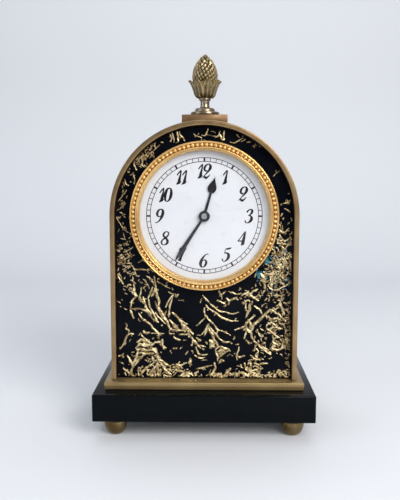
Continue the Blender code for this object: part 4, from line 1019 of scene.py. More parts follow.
# Strands of swarf cast into the panel, each a line of (x, height above the panel's foot) places
# in millimetres with a half width and how deep it lies, from 0 at the surface to 1
# The deeper a strand lies, the lower its crest and the more painted shade it gets
STRANDS = (
    # lower left: the sheaf that streams down from the bezel
    (0.55, 0.1, (-42, 52), (-45, 49), (-46, 44), (-45.5, 42), (-44, 38)),
    (0.60, 0.2, (-44, 57), (-43, 54), (-41.5, 52)), (0.45, 0.2, (-45, 55), (-42, 52)),
    (0.55, 0.3, (-39, 58), (-39.5, 54), (-40.5, 51), (-39, 49), (-37.5, 47.5)),
    (0.65, 0.1, (-38, 52), (-37, 48), (-35.5, 44), (-33, 41)),
    (0.55, 0.0, (-34.5, 50), (-34, 46), (-32, 42), (-30, 38), (-28.5, 35.5)),
    (0.60, 0.3, (-32, 58), (-33.5, 54), (-35, 51)),
    (0.70, 0.2, (-30.5, 57), (-31.5, 54), (-33, 52)),
    (0.75, 0.0, (-30, 59), (-29.5, 54), (-28, 49), (-28.5, 45), (-26.5, 42), (-25, 39),
     (-23, 36), (-22, 33), (-20.5, 31)),
    (0.50, 0.5, (-30.5, 49), (-29, 45), (-27.5, 41.5), (-26, 38)),
    (0.55, 0.6, (-45, 44), (-42, 44.3), (-39, 44), (-36, 42.5), (-34, 40.5), (-32.5, 38)),
    (0.55, 0.1, (-41, 41.5), (-39, 38.5), (-36, 36), (-33.5, 34), (-32, 32), (-30, 30),
     (-28.5, 28), (-28.5, 25)),
    (0.50, 0.0, (-30.5, 42), (-29, 39.5), (-27, 37.5), (-25, 35.5), (-24, 34.5)),
    (0.50, 0.2, (-32, 38), (-30, 36.5), (-28.5, 35.3)),
    (0.55, 0.2, (-18.5, 54), (-21, 51), (-23, 47.5), (-24, 45)),
    (0.50, 0.2, (-19, 53), (-20.5, 49), (-21.5, 45), (-21.8, 41.5), (-22, 39)),
    (0.60, 0.1, (-16, 53.5), (-17.5, 51.8), (-17.5, 53.5)), (0.45, 0.4, (-23.5, 43), (-25, 39.5)),
    (0.50, 0.0, (-20, 42), (-17.5, 40), (-15.5, 37.5), (-14, 35), (-13, 31.5)),
    (0.40, 0.2, (-15.5, 37.5), (-12.5, 35.5), (-10, 34.3)),
    (0.55, 0.1, (-14, 35), (-11.5, 33), (-9.5, 31), (-8, 29.5), (-6.5, 28)),
    (0.55, 0.3, (-22, 37.5), (-20, 35.5), (-18, 33.5), (-16, 31.5)),
    (0.60, 0.2, (-19.5, 35), (-18, 32.5), (-16.5, 31.5)),
    (0.60, 0.2, (-21, 31), (-17, 30.5), (-13, 30.6), (-10.5, 31)),
    (0.50, 0.1, (-15.5, 28), (-12, 28), (-9, 28.2)),
    (0.50, 0.3, (-21.5, 31), (-21.5, 28.5), (-18.5, 28.5)),
    (0.85, 0.3, (-12, 34), (-13, 31.5), (-11.5, 29.5)),
    (0.50, 0.3, (-10, 32), (-9.5, 29), (-9.5, 26)),
    (0.60, 0.0, (-19, 27), (-18.2, 25.5), (-16, 24.5), (-14.5, 24.3)),
    (0.55, 0.1, (-9, 28), (-7, 25), (-5, 22.5), (-3.5, 20.5), (-2, 19)),
    (0.42, 0.3, (-7, 25.5), (-7.3, 22.5), (-7.5, 20.5)),
    (0.65, 0.1, (-5, 26), (-3, 24.5), (-2, 24)), (0.50, 0.1, (-3, 21), (-1, 20.5), (1, 20.2)),
    (0.55, 0.3, (-1, 19), (0, 18)),
    (0.45, 0.0, (-5, 20), (-4.5, 18), (-3, 15.5), (-1, 14.8), (2.3, 15.4)),
    (0.45, 0.1, (-6, 15), (-4.5, 13.5), (-2, 12.8), (1, 13.2)), (0.22, 0.5, (-2, 11.5), (2, 11.5)),
    (0.22, 0.6, (-16, 49.8), (-14, 49.5), (-12.5, 50)), (0.35, 0.5, (-1.5, 51), (-2.5, 48)),
    (0.55, 0.0, (0.3, 45), (0, 42.5), (0.8, 39.5), (1.5, 38.5)),
    (0.38, 0.2, (0.5, 38.5), (-2, 36), (-4, 34), (-5, 33.8)),
    (0.55, 0.1, (2, 34), (1, 31), (-1.5, 28)), (0.50, 0.4, (2.3, 32), (0, 27)),
    # lower left: the clump and what stands round it
    (0.60, 0.1, (-44, 28.2), (-47, 28), (-49, 25.5), (-50, 22.5), (-51.5, 20), (-53, 18.2)),
    (0.60, 0.2, (-48, 34), (-49, 31.5), (-47.5, 30.5), (-47.2, 28)),
    (0.45, 0.2, (-40, 29), (-39, 27), (-37.5, 25.5), (-35, 23.5), (-33, 22)),
    (0.60, 0.3, (-38, 30), (-36, 28.8), (-34, 29.3)),
    (0.50, 0.1, (-33, 28.6), (-29, 28.5), (-25, 28.3)),
    (0.75, 0.1, (-31, 23), (-28.5, 23), (-26.5, 21.5), (-25, 19.5), (-23.5, 19.2)),
    (0.60, 0.4, (-26, 25), (-26, 22)),
    (0.75, 0.2, (-42, 22.5), (-39.5, 24.5), (-37, 23.5), (-34, 24)),
    (0.80, 0.1, (-43, 19), (-40, 21.5), (-37.5, 20.5), (-35, 21)),
    (0.65, 0.0, (-38, 22.5), (-36, 21.2), (-33, 21), (-31, 22.5)),
    (0.90, 0.2, (-42.5, 18), (-39, 18.5), (-36.5, 17.5), (-33, 18), (-30, 17)),
    (0.80, 0.0, (-42.5, 15.5), (-39.5, 16), (-36, 15.5), (-31.5, 15.5)),
    (0.95, 0.3, (-34, 19.5), (-31.5, 18), (-29.5, 15), (-29, 12), (-28, 10)),
    (0.80, 0.3, (-33, 14), (-32, 12), (-32.5, 11)),
    (0.85, 0.3, (-41.5, 18), (-42, 14.5), (-43, 12), (-44.5, 9), (-45, 6)),
    (0.75, 0.4, (-38, 14.5), (-40.5, 12.5), (-42, 10), (-44, 7.5)),
    (0.60, 0.0, (-48.5, 14.5), (-47, 12), (-45.5, 9.5), (-45, 7)),
    (0.55, 0.1, (-55, 13), (-53, 14), (-51, 14.5)), (0.60, 0.1, (-51.5, 13.5), (-50.5, 13)),
    (0.85, 0.2, (-30, 11), (-33, 8.5), (-36, 6.5), (-38.5, 4), (-40, 1.5)),
    (0.75, 0.3, (-29, 9), (-31, 6.5), (-33, 4), (-35, 1.2)),
    (0.85, 0.2, (-29, 11), (-29.5, 7), (-29, 3), (-28.5, 1)),
    (0.70, 0.0, (-31, 5), (-31, 2.5), (-30.5, 1)), (0.60, 0.2, (-27.5, 6), (-27.5, 1)),
    (0.50, 0.1, (-41, 7), (-41.5, 4), (-41, 1)), (0.40, 0.3, (-38.5, 7.5), (-40.5, 5.5)),
    (0.85, 0.1, (-45.5, 6), (-46, 3), (-45, 1)),
    (0.60, 0.0, (-50.5, 5.5), (-48.5, 4), (-46.5, 1.8)),
    (0.70, 0.1, (-28, 12), (-26, 10.5), (-24, 9), (-21, 7)), (0.75, 0.0, (-27, 10), (-26, 7.5)),
    (0.50, 0.1, (-26, 8), (-24.5, 5), (-22.5, 3.5), (-20.5, 2)),
    (0.40, 0.2, (-25, 5), (-22, 5.5), (-20, 4)), (0.50, 0.1, (-25.5, 2), (-23, 1), (-20.5, 2.5)),
    (0.60, 0.1, (-18, 9), (-15.5, 8), (-12.5, 9), (-10.5, 9.8)),
    (0.75, 0.3, (-20, 6.5), (-17.5, 7), (-16, 6), (-16.5, 4)),
    (0.60, 0.1, (-19.5, 3), (-18, 5), (-15.5, 4.5), (-13, 3.8), (-12, 5.5)),
    (0.70, 0.1, (-15, 1), (-13, 3), (-10, 3), (-7.5, 2.5)),
    (0.75, 0.2, (-13.5, 0.8), (-11, 1.5), (-9, 0.9)), (0.50, 0.1, (-19.5, 19), (-17, 18.8)),
    (0.45, 0.2, (-15, 18.6), (-14.5, 19.5)), (0.50, 0.2, (-10, 17.5), (-11.5, 15)),
    (0.75, 0.0, (-8.5, 13), (-8.6, 10.5), (-9, 9)), (0.50, 0.0, (-26.8, 33.5), (-26.2, 33.5)),
    (0.45, 0.1, (-27.3, 16.5), (-26.8, 16)),
    (0.55, 0.1, (-5, 5.8), (-2, 6.2), (1.5, 7.2), (5, 8.2)), (0.55, 0.1, (-6, 3.2), (-3.5, 3.8)),
    # lower right: the long smooth curves and the clump under them
    (0.50, 0.0, (-1, 53), (2, 49.5), (5.5, 46), (9.5, 43), (13.5, 42.3), (17.5, 41.2),
     (21.5, 42.3)),
    (0.50, 0.0, (1, 47), (3, 44.5), (7, 42), (11, 39), (14.5, 37.3), (18, 36.8), (21.5, 36.7)),
    (0.50, 0.0, (0, 43), (1, 40), (3.5, 37), (6.5, 34), (8.5, 31), (12, 30), (16.5, 27.5)),
    (0.48, 0.1, (8.5, 31), (8, 28), (9.5, 25.5), (12.5, 23.5), (16, 23.2)),
    (0.50, 0.4, (3, 33.5), (5.5, 30.5), (8, 27.5), (9.5, 25.5)),
    (0.75, 0.3, (2.5, 35), (3, 32), (5, 28.5), (6, 25.5), (6.5, 22.5)),
    (0.90, 0.1, (3.2, 24), (5, 23.5), (4.2, 20), (6.5, 22)),
    (0.65, 0.3, (6, 25), (8, 22.5), (8.5, 20)),
    (0.65, 0.1, (7, 18.5), (10, 20.3), (14, 19), (16, 18.2)),
    (0.65, 0.0, (7, 18), (8, 15.5), (9, 12.5)),
    (0.60, 0.2, (16, 18.3), (12.5, 16), (9.5, 13.5), (8.5, 12)),
    (0.75, 0.3, (10, 18.5), (11.3, 16.5), (9.5, 15.5)), (0.60, 0.0, (8.5, 17), (11, 18), (13, 17)),
    (0.70, 0.1, (12.5, 11), (10.5, 11.5), (9.5, 9.5)),
    (0.42, 0.2, (9, 56), (10.5, 53.5), (11, 50.5)), (0.42, 0.3, (13.5, 55.5), (11, 53.5)),
    (0.55, 0.1, (8, 49.8), (11, 48.5), (13.5, 47), (12.8, 45.8)),
    (0.55, 0.3, (14, 51.5), (15.5, 49), (15, 47)),
    (0.60, 0.4, (20.5, 51.5), (17.5, 50.5), (15.5, 49.5)),
    (0.42, 0.1, (15, 55.5), (18, 54.5), (20.5, 53.5), (23, 54.3)),
    (0.35, 0.1, (21.5, 56), (23, 57.3)),
    # right: chains and loops
    (0.60, 0.1, (23, 52.5), (25, 54), (27, 54.5), (29, 53), (31.5, 51), (34, 49.5)),
    (0.60, 0.1, (26, 54), (28, 53.5), (30.5, 55.5), (33.5, 57)),
    (0.45, 0.3, (29, 52), (32, 52), (34.5, 53)),
    (0.55, 0.1, (24, 49), (24.8, 47.5), (26, 49.5), (28, 50)),
    (0.55, 0.0, (26, 48), (26, 45), (26.2, 43.3)),
    (0.75, 0.3, (28.3, 48), (28.5, 45), (27.5, 42.5), (26.5, 40.5), (26.5, 39)),
    (0.50, 0.4, (30, 49.5), (29.5, 47)), (0.55, 0.1, (31, 46.5), (33, 45), (35, 43.5), (36, 41)),
    (0.90, 0.2, (41, 44), (38.5, 41.5), (36, 38.8), (33.5, 36.5), (31, 34.5), (29, 32)),
    (0.60, 0.1, (32, 40.3), (29.5, 38.5), (27, 36), (25, 33), (21.5, 31.8), (19, 31)),
    (0.70, 0.3, (27.5, 38), (29, 35), (28.5, 32)),
    (0.65, 0.1, (24.5, 31), (26.5, 31.5), (28.5, 29.5), (31, 33)),
    (0.60, 0.2, (26.5, 31.5), (26, 28.5), (25, 25.3)),
    (0.55, 0.3, (26, 35), (27, 32), (29.5, 29), (30, 26), (31.5, 24)),
    (0.65, 0.1, (31, 24), (33.5, 22), (36, 19.5), (38.5, 17.5), (42, 15.3)),
    (0.65, 0.5, (36, 22), (38.5, 23)), (0.50, 0.3, (36, 21), (40, 18), (42, 16)),
    (0.60, 0.0, (27, 24.5), (28, 22.5), (30, 22.8)),
    (0.42, 0.1, (33, 31.5), (34, 29), (35.5, 27), (37, 28)),
    (0.55, 0.1, (41, 44.5), (44, 42.5), (46.5, 41), (48.5, 39), (51, 36.5)),
    (0.75, 0.3, (47, 47.5), (49, 43.5), (50, 40.5)), (0.60, 0.4, (48.5, 44.5), (52, 43.5)),
    (0.65, 0.4, (40, 40), (42, 38), (45, 38.5), (47.5, 37.5)),
    (0.50, 0.2, (44.5, 46), (47, 48), (48.5, 53.5)), (0.45, 0.3, (46, 45), (44.5, 44.5)),
    (0.55, 0.0, (42, 36), (39.5, 34.5), (39, 32), (41, 30.5), (43, 29), (45.5, 27), (47.5, 26)),
    (0.50, 0.3, (43, 36), (42.5, 33), (41, 32)), (0.55, 0.1, (43.5, 35), (46, 32.5), (49, 32)),
    (0.50, 0.3, (46.5, 35.5), (49.5, 34.5), (50.5, 32.5)), (0.55, 0.1, (44.5, 33.5), (47, 31)),
    (0.65, 0.0, (46.5, 27), (44, 25.5), (43, 23.5), (45, 22), (42.5, 20), (44.5, 18.5),
     (47, 18.5), (49, 20), (49, 23), (47.5, 25.5)), (0.50, 0.3, (46, 24), (47.5, 22)),
    (0.50, 0.6, (50, 28), (51.5, 25), (52, 22.5)),
    (0.50, 0.1, (22, 20.5), (21.5, 17.5), (20.5, 14.5), (20.8, 11.5)),
    (0.60, 0.3, (20.5, 14), (22.5, 13.5), (25.5, 14.5)),
    (0.60, 0.1, (32, 19.5), (34, 17.5), (32.5, 15), (33.5, 13), (35.5, 11.5)),
    (0.55, 0.1, (29, 15), (31, 13), (34, 12)), (0.45, 0.3, (30.5, 18), (32, 18)),
    (0.60, 0.2, (31, 10), (34, 9), (37, 9.5), (40, 9.5)), (0.55, 0.0, (23, 9), (23.5, 7)),
    (0.55, 0.1, (25.5, 10), (26, 7.5), (27.5, 5.5)), (0.65, 0.1, (29, 11), (29.5, 8), (28.5, 6)),
    (0.55, 0.3, (33, 8), (35, 6), (37, 6.5)),
    (0.85, 0.1, (20.5, 1), (22.5, 3.5), (25.5, 3), (28, 1.5), (30, 3.5), (33, 2.5), (35.5, 4.5)),
    (0.65, 0.2, (26, 6), (28.5, 4), (32, 5.5), (34, 5)),
    (0.60, 0.0, (29, 0.8), (31, 2), (34, 0.8)), (0.70, 0.1, (4, 1), (5.5, 3.5), (7, 6), (7, 8.5)),
    (0.80, 0.0, (8, 1.5), (10, 0.8), (13, 1.5), (14.5, 3.5), (17, 6.5)),
    (0.65, 0.1, (14, 1), (16, 3), (18, 1.5)), (0.60, 0.1, (6.5, 10), (7, 7)),
    (0.70, 0.3, (8.5, 3), (11, 1.5)),
    (0.80, 0.1, (43.5, 0.8), (45.5, 3), (47, 5), (48.5, 3.5), (50.5, 5), (52, 2)),
    (0.65, 0.0, (47.5, 2), (49.5, 2.5), (51, 1)),
    # right of the bezel
    (0.95, 0.0, (35, 67), (36.5, 64), (37, 61), (38, 57.5)),
    (0.55, 0.2, (42, 66), (41, 62), (42, 58)),
    (0.60, 0.2, (36.5, 68), (39, 66), (42, 67), (44, 69)),
    (0.55, 0.2, (40, 58), (44, 56), (48, 58), (52, 60)), (0.50, 0.3, (46, 94), (49, 92), (52, 95)),
    (0.50, 0.3, (46, 91), (49, 87), (53, 89)),
    (0.50, 0.2, (47.5, 84), (49.5, 82), (51, 84), (54, 86)),
    (0.55, 0.2, (44.5, 78), (46, 75), (49, 77), (51, 73)),
    (0.55, 0.3, (42.5, 74), (46, 71), (47, 68)), (0.50, 0.4, (47, 80), (49.5, 74), (52, 69)),
    (0.50, 0.5, (51, 79), (53, 74), (53.5, 68)), (0.50, 0.2, (44, 63), (47, 65), (49.5, 63)),
    (0.45, 0.3, (48, 110), (50.5, 110.5), (52.5, 112)), (0.40, 0.4, (50, 112.5), (52, 110)),
    (0.50, 0.0, (46.8, 102), (47.8, 104)), (0.26, 0.4, (42, 126.5), (44, 128.5), (47.5, 131)),
)

# Finer and deeper strands beside and over the bezel, in the same terms
FINE_STRANDS = (
    # left of the bezel
    (0.50, 0.1, (-54, 101), (-52, 97.5), (-49, 93.5), (-47, 92)),
    (0.40, 0.3, (-52, 104.5), (-48.5, 102.8)), (0.40, 0.4, (-53.5, 105.5), (-51, 107), (-48, 110)),
    (0.45, 0.3, (-53, 111), (-50, 114.5), (-47.5, 118)), (0.40, 0.4, (-52, 109), (-49, 111)),
    (0.45, 0.2, (-50, 92), (-49, 87.5)),
    (0.55, 0.4, (-54, 75), (-51, 74.5), (-47, 76.5), (-43, 78)),
    (0.50, 0.3, (-50, 79.5), (-46, 81.5), (-44, 83)),
    (0.60, 0.2, (-49, 70), (-45, 71.5), (-43, 69), (-38, 69), (-35.5, 68.5)),
    (0.50, 0.4, (-53, 72), (-48, 73)), (0.50, 0.1, (-43, 68), (-42, 65), (-40, 65)),
    (0.60, 0.0, (-54, 66), (-52, 62), (-50, 59.5)), (0.40, 0.3, (-53, 67), (-51, 63)),
    (0.55, 0.1, (-45, 62), (-42.5, 60)), (0.60, 0.1, (-44, 60), (-43, 56)),
    (0.50, 0.3, (-38, 63), (-36, 61), (-34, 57)), (0.60, 0.1, (-36, 65), (-33, 63), (-31, 59)),
    (0.65, 0.2, (-31, 65), (-30.5, 61), (-30, 58)), (0.50, 0.4, (-35, 60), (-38, 57)),
    (0.40, 0.1, (-28, 61), (-24, 58.5), (-21, 57)), (0.45, 0.1, (-20, 57.5), (-19.5, 56)),
    (0.50, 0.4, (-41, 73), (-38, 75)),
    # over the bezel
    (0.45, 0.1, (-49, 126), (-48, 122), (-46, 120.5)), (0.40, 0.3, (-49.5, 126), (-50, 122.5)),
    (0.45, 0.3, (-43.5, 128), (-42.5, 124), (-43, 121.5)),
    (0.60, 0.1, (-43.5, 135.5), (-42, 131.5), (-41, 130)),
    (0.50, 0.2, (-41, 134), (-39, 137.5), (-36.5, 139.5)),
    (0.45, 0.4, (-38, 139), (-38, 134), (-36.5, 131.5)),
    (0.40, 0.2, (-36, 142), (-33, 143), (-31, 146)), (0.40, 0.3, (-33, 147), (-32, 143)),
    (0.45, 0.1, (-36, 137), (-33, 140), (-30, 142.5), (-27, 145.5)),
    (0.40, 0.4, (-34, 141), (-31, 138.5)), (0.50, 0.2, (-21, 152), (-20, 149.5), (-20.5, 147)),
    (0.50, 0.1, (-19.5, 152.5), (-18.5, 149), (-18.5, 146.5)),
    (0.70, 0.0, (-16.5, 153), (-16, 149.5), (-16, 146.8)),
    (0.60, 0.1, (-15.2, 153.5), (-14.5, 151), (-12.5, 149), (-12, 147.5)),
    (0.40, 0.1, (-6.5, 152), (-4.5, 150.5), (-2, 149.8), (-1.8, 148)),
    (0.50, 0.0, (-2, 151), (0.5, 151), (1.5, 153), (2.3, 155)),
    (0.24, 0.4, (1, 151.5), (5.5, 150.5), (7, 150.8)),
    (0.60, 0.1, (6.5, 149.5), (8.5, 151), (9.5, 153.5)),
    (0.75, 0.0, (9.5, 151.5), (10.5, 148.8), (11.8, 148.2), (11.5, 150), (12, 153.8)),
    (0.45, 0.1, (15.2, 147), (18, 146.5), (21, 148), (23, 149.5)),
    (0.45, 0.3, (19.5, 151.5), (21, 149.5)), (0.40, 0.3, (30, 143.5), (31, 146)),
    (0.30, 0.4, (33, 144.5), (34, 144.3)),
)

# Chips with a blue-green stain, in the same terms, and where smaller ones lie
STAINED = (
    (0.85, 0.2, (38.8, 76.5), (38.0, 74.5), (37.0, 73)), (0.60, 0.4, (40, 75), (39.5, 72.5)),
    (0.80, 0.2, (33.6, 68), (33.9, 65.8), (33.6, 63.5)), (0.50, 0.4, (35.2, 68), (35.4, 66)),
)
STAINED_CLUSTERS = (
    (39, 74, 1.8, 2.2, 22, 0.4), (34, 66, 1.2, 2.4, 14, 0.4), (45, 81, 2.5, 4.0, 12, 0.7),
    (44, 60, 3.0, 3.0, 10, 0.8), (50, 70, 2.0, 12, 16, 0.9),
)

# Where small loose chips lie: (x, height, spread in x, spread in height, count, depth)
# Their depth sets their painted shade, as for the strands
CLUSTERS = (
    (0, 1.4, 30, 0.7, 80, 0.2), (44, 1.5, 8, 0.8, 30, 0.2), (52.5, 28, 1.0, 18, 85, 0.8),
    (49, 84, 3.0, 12, 60, 0.5), (-36, 17, 6, 6, 46, 0.3), (-28, 5, 10, 3, 46, 0.2),
    (28, 5, 8, 4, 34, 0.2), (46, 34, 4, 9, 40, 0.4), (-48, 72, 4, 9, 34, 0.5),
    (-50, 104, 2, 12, 26, 0.6), (-38, 138, 7, 6, 40, 0.4), (-44, 50, 8, 16, 16, 0.3),
    (36, 22, 12, 14, 24, 0.3), (-33, 62, 8, 4, 26, 0.3), (-2, 20, 16, 12, 22, 0.4),
    (12, 148, 12, 5, 12, 0.4), (30, 54, 8, 3, 14, 0.3), (52, 118, 1.5, 12, 5, 0.6),
    (45, 72, 3.6, 8, 90, 0.35), (48, 72, 4.0, 12, 100, 0.7), (41, 62, 4, 4, 40, 0.4),
    (44, 52, 4, 5, 30, 0.5), (-50, 66, 3, 7, 30, 0.5), (-51, 78, 2, 5, 18, 0.6),
    (43, 27, 6, 8, 50, 0.5), (-46, 128, 2, 4, 14, 0.5), (-39, 137, 3, 3, 20, 0.3),
)

SWARF_WEIGHT = 1.10
FINE_WEIGHT = 0.72
# Fine strands lie deeper, so they get more painted shade
FINE_DEPTH = 0.22
BARB_SHARE = 0.34                   # how many spans of a strand carry a sliver
SHOULDER = -0.05 * MM               # of a shaving, in front of the resin
ROOT = 0.25 * MM                    # of a shaving, inside the resin
PANEL_FACE, PANEL_FOOT = low("front_panel").y, low("front_panel").z
ARCH_INSIDE = 54.1 * MM
BEZEL_OUTSIDE = 45.7 * MM


def on_panel(x, z):
    """True inside the visible panel: under the arch and outside the bezel."""
    if z < PANEL_FOOT + 0.3 * MM or abs(x) > ARCH_INSIDE:
        return False
    distance = math.hypot(x, z - AXIS.z)
    return distance > BEZEL_OUTSIDE and (z <= AXIS.z or distance <= ARCH_INSIDE)


def strip(mesh, line, widths, depth, sink, rng):
    """One shaving: a closed strip with a crooked crest, set into the face of the resin."""
    sunk, crest = (mesh.verts.layers.float[name] for name in ("sunk", "crest"))
    rows = []
    phase, beat = rng.uniform(0, 6.28), rng.uniform(0.5, 1.1)
    for index, ((x, z), half) in enumerate(zip(line, widths)):
        before, after = line[max(index - 1, 0)], line[min(index + 1, len(line) - 1)]
        way = Vector((after[0] - before[0], after[1] - before[1])).normalized()
        side = Vector((-way.y, 0, way.x))
        bent = 0.45 * half * math.sin(phase + beat * index)
        height = (0.10 * MM + 0.50 * half) * (1 - 0.45 * depth) * rng.uniform(0.75, 1.15)
        # Painted shade: more where the strand is marked deep, rising and falling in waves along
        # its length
        tone = min(1.0, max(0.0, depth + 0.25 * math.sin(0.9 * index + phase)))
        row = []
        # Each corner's last number is its share of the painted highlight: full on the crest, faint
        # on the shoulders, none at the root
        for across, forward, rise in ((half, SHOULDER, 0.1), (bent, -height, 1.0),
                                      (-half, SHOULDER, 0.1), (-half, ROOT, 0), (half, ROOT, 0)):
            spot = Vector((x, PANEL_FACE + sink + forward, z)) + side * across
            vert = mesh.verts.new(spot)
            vert[sunk], vert[crest] = tone, rise
            row.append(vert)
        rows.append(row)
    bridge(mesh, rows)
    cap(mesh, rows)


def strand(mesh, row, rng, sink=0.0):
    """A strip along a row of places, with uneven edges, small kinks and tapered ends."""
    half, depth, *places = row
    half *= SWARF_WEIGHT
    steps = max(3, int(8 / (len(places) - 1)) + 2)      # short rows bend as often as long ones
    line = smooth_line(in_mm(places, PANEL_FOOT), steps)
    line = [(x + rng.gauss(0, 0.07) * MM, z + rng.gauss(0, 0.07) * MM) for x, z in line]
    line = [place for place in line if on_panel(*place)]
    if len(line) < 2:
        return
    widths = []
    for index in range(len(line)):
        share = index / (len(line) - 1)
        taper = 0.40 + 0.60 * math.sin(math.pi * (0.06 + 0.88 * share)) ** 0.6
        widths.append(half * MM * taper * rng.uniform(0.62, 1.25))
    strip(mesh, line, widths, depth, sink, rng)


def barbs(row, rng):
    """Short slivers that stand off a strand here and there."""
    half, depth, *places = row
    found = []
    for (x, z), (next_x, next_z) in zip(places, places[1:]):
        if rng.random() > BARB_SHARE:
            continue
        share = rng.random()
        heading = math.atan2(next_z - z, next_x - x) + rng.choice((-1, 1)) * rng.uniform(0.4, 1.3)
        x, z = x + share * (next_x - x), z + share * (next_z - z)
        length = rng.uniform(0.8, 2.0)
        tip = (x + length * math.cos(heading), z + length * math.sin(heading))
        found.append((half * rng.uniform(0.4, 0.7), min(1.0, depth + rng.uniform(0.0, 0.3)),
                      (x, z), tip))
    return found


def loose_chip(cluster, rng):
    """Row for one small curled chip in a cluster."""
    cx, cz, wide, tall, _, depth = cluster
    x, z = cx + rng.gauss(0, wide), cz + rng.gauss(0, tall)
    heading, bend = rng.uniform(0, math.pi), rng.gauss(0, 0.5)
    length = rng.uniform(0.5, 1.5)
    places = [(x, z)]
    for _ in range(2):
        x, z = x + length * math.cos(heading), z + length * math.sin(heading)
        heading += bend
        places.append((x, z))
    deep = min(1.0, max(0.0, depth + rng.gauss(0, 0.2)))
    return (rng.uniform(0.18, 0.48), deep, *places)


def new_swarf():
    """Empty mesh that carries the painted shade of a place, set by how deep it lies, and its
    painted highlight, set by how near to a crest it is.
    """
    mesh = bmesh.new()
    for name in ("sunk", "crest"):
        mesh.verts.layers.float.new(name)
    return mesh


def finish_swarf(name, mesh, clusters, material, rng):
    """Loose chips added to the strands, and the whole made into a piece."""
    for cluster in clusters:
        for _ in range(cluster[4]):
            strand(mesh, loose_chip(cluster, rng), rng)
    piece(name, mesh, material, smooth=18)


def make_shavings():
    """Strands with their slivers, each over a painted shadow (a wider, darker strip set behind
    it), and the loose chips.
    """
    rng = random.Random(11)
    mesh = new_swarf()
    fine = [(half * FINE_WEIGHT, depth + FINE_DEPTH, *places)
            for half, depth, *places in FINE_STRANDS]
    for row in (*STRANDS, *fine):
        strand(mesh, row, rng)
        for barb in barbs(row, rng):
            strand(mesh, barb, rng)
        half, _, *places = row
        # Painted shadow: a wider copy of the strand, shifted down and mostly left, set deeper and
        # marked dark
        dx, dz = rng.uniform(-0.5, 0.1), rng.uniform(-0.6, -0.1)
        behind = [(x + dx, z + dz) for x, z in places]
        strand(mesh, (half * 1.1, 0.9, *behind), rng, sink=0.15 * MM)
    finish_swarf("panel_shavings", mesh, CLUSTERS, "shavings", rng)

    mesh = new_swarf()
    for row in STAINED:
        strand(mesh, row, rng)
    finish_swarf("stained_chips", mesh, STAINED_CLUSTERS, "stained", rng)


# ---------------------------------------------------------------- back

def make_door():
    """Moulded door with a raised border round a sunk field, and its turned brass pull."""
    mesh = slab("rear_door", 0.5 * MM)
    field = max(mesh.faces, key=lambda face: face.calc_area() * (face.normal.y > 0.9))
    for border, sink in ((4.0, 0.0), (0.5, -0.5), (1.2, 0.0), (0.4, 0.3)):
        bmesh.ops.inset_region(mesh, faces=[field], thickness=border * MM, depth=sink * MM)
    piece("rear_door_visual", mesh, "black_plastic", "door", ("rear_door",))

    centre, radius = middle("door_pull"), half_width("door_pull")
    near, reach = low("door_pull").y, high("door_pull").y - low("door_pull").y
    shape = [(0, 0), (0.72, 0), (0.72, 0.08), (0.5, 0.2), (0.46, 0.4)]
    shape += [(0.5 + 0.5 * math.sin(a), 0.72 - 0.24 * math.cos(a)) for a in sweep(180, 12)[1:-1]]
    shape += [(0.3, 1), (0, 1)]
    profile = [(radius * r, near + reach * h) for r, h in shape]
    piece("door_pull_visual", turned(profile, 40, "Y", centre=(centre.x, 0, centre.z)),
          "case_brass", "door", ("door_pull",))


def screw_head(name, radius, near, far, place, body="case", replaces=()):
    """Round head facing backwards, with a slot between its two raised halves."""
    x, z = place
    lean = math.degrees(math.asin(0.17))        # half the slot, in shares of the radius
    waist = (near + far) / 2
    mesh = extruded(arc(place, radius, 0, 352.5, 47), near, waist)
    turn = math.radians(35.0 * math.sin(700 * (x + 2 * z)))
    for start in (lean, 180 + lean):
        outline = arc((0, 0), 0.97 * radius, start, start + 180 - 2 * lean, 22)
        half = extruded(outline, waist - 0.02 * MM, far, 0.12 * MM)
        bmesh.ops.rotate(half, verts=half.verts, matrix=Matrix.Rotation(turn, 3, "Y"))
        bmesh.ops.translate(half, verts=half.verts, vec=(x, 0, z))
        part = bpy.data.meshes.new("half_head")
        half.to_mesh(part)
        half.free()
        mesh.from_mesh(part)
        bpy.data.meshes.remove(part)
    piece(name, mesh, "steel", body, replaces)


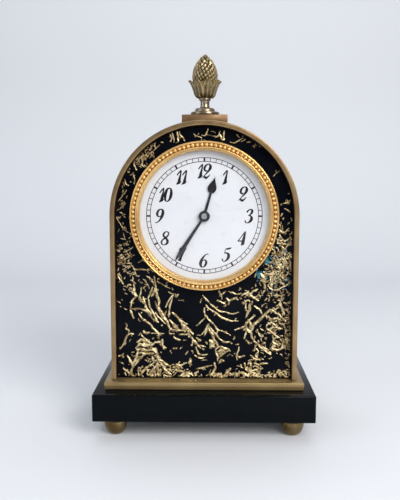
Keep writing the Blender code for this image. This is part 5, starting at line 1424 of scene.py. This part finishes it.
def make_back_screws():
    """Heads of the post screws, and two screws in each leaf of the hinge."""
    for place in ("left", "right", "top"):
        name = "post_screw_" + place
        centre, rear = middle(name), high(name).y
        screw_head(name + "_head", half_width(name), rear - 1.5 * MM, rear + 0.05 * MM,
                   (centre.x, centre.z), replaces=(name,))
    for name, body, x, face in (
            ("hinge_leaf_fixed", "case", high("hinge_leaf_fixed").x - 2.6 * MM,
             low("hinge_leaf_fixed").y + 0.8 * MM),
            ("hinge_leaf_moving", "door", low("hinge_leaf_moving").x + 3.2 * MM,
             high("rear_door").y + 1.1 * MM)):
        for number, height in enumerate((-10.5, 10.5), 1):
            screw_head(f"{name}_screw_{number}", 1.5 * MM, face - 0.2 * MM, face + 0.45 * MM,
                       (x, middle(name).z + height * MM), body)


def make_battery():
    """Cell with rolled shoulders, a flat negative end and a stepped positive cap."""
    centre, radius = middle("battery"), (high("battery").z - low("battery").z) / 2
    left, right = low("battery").x, high("battery").x
    shoulder, flat, roll = right - 1.0 * MM, 0.86 * radius, 0.14 * radius
    profile = [(0, left), (0.62 * radius, left)]
    profile += [(flat + roll * math.sin(a), left + MM * (1 - math.cos(a))) for a in sweep(90, 6)]
    profile += [(flat + roll * math.cos(a), shoulder - MM * (1 - math.sin(a)))
                for a in sweep(90, 6)]
    profile += in_mm(((2.75, 0), (2.65, 0.7)), shoulder) + [(2.3 * MM, right), (0, right)]
    mesh = turned(profile, 56)
    bmesh.ops.rotate(mesh, verts=mesh.verts, matrix=Matrix.Rotation(math.pi / 2, 3, "Y"))
    bmesh.ops.translate(mesh, verts=mesh.verts, vec=(0, centre.y, centre.z))
    piece("battery_visual", mesh, "cell_jacket", replaces=("battery",))


# ---------------------------------------------------------------- CAD nodes that stay

def paint_cad_nodes():
    """Every CAD node that shows gets the node material of its slot."""
    slots = {entry["node"]: entry["material_slot"] for entry in frame["record"]["subparts"]}
    for name, made in frame["nodes"].items():
        material = MATERIALS[slots[name]]
        for index in range(len(made.material_slots)):
            made.material_slots[index].material = material


make_camera()
make_light()
make_stage()
paint_cad_nodes()
make_plinth()
make_feet()
make_arch()
make_finial_block()
make_finial_foot()
make_calyx()
make_cone()
make_bezel()
make_crystal()
make_dial()
make_hands()
make_shavings()
make_door()
make_back_screws()
make_battery()
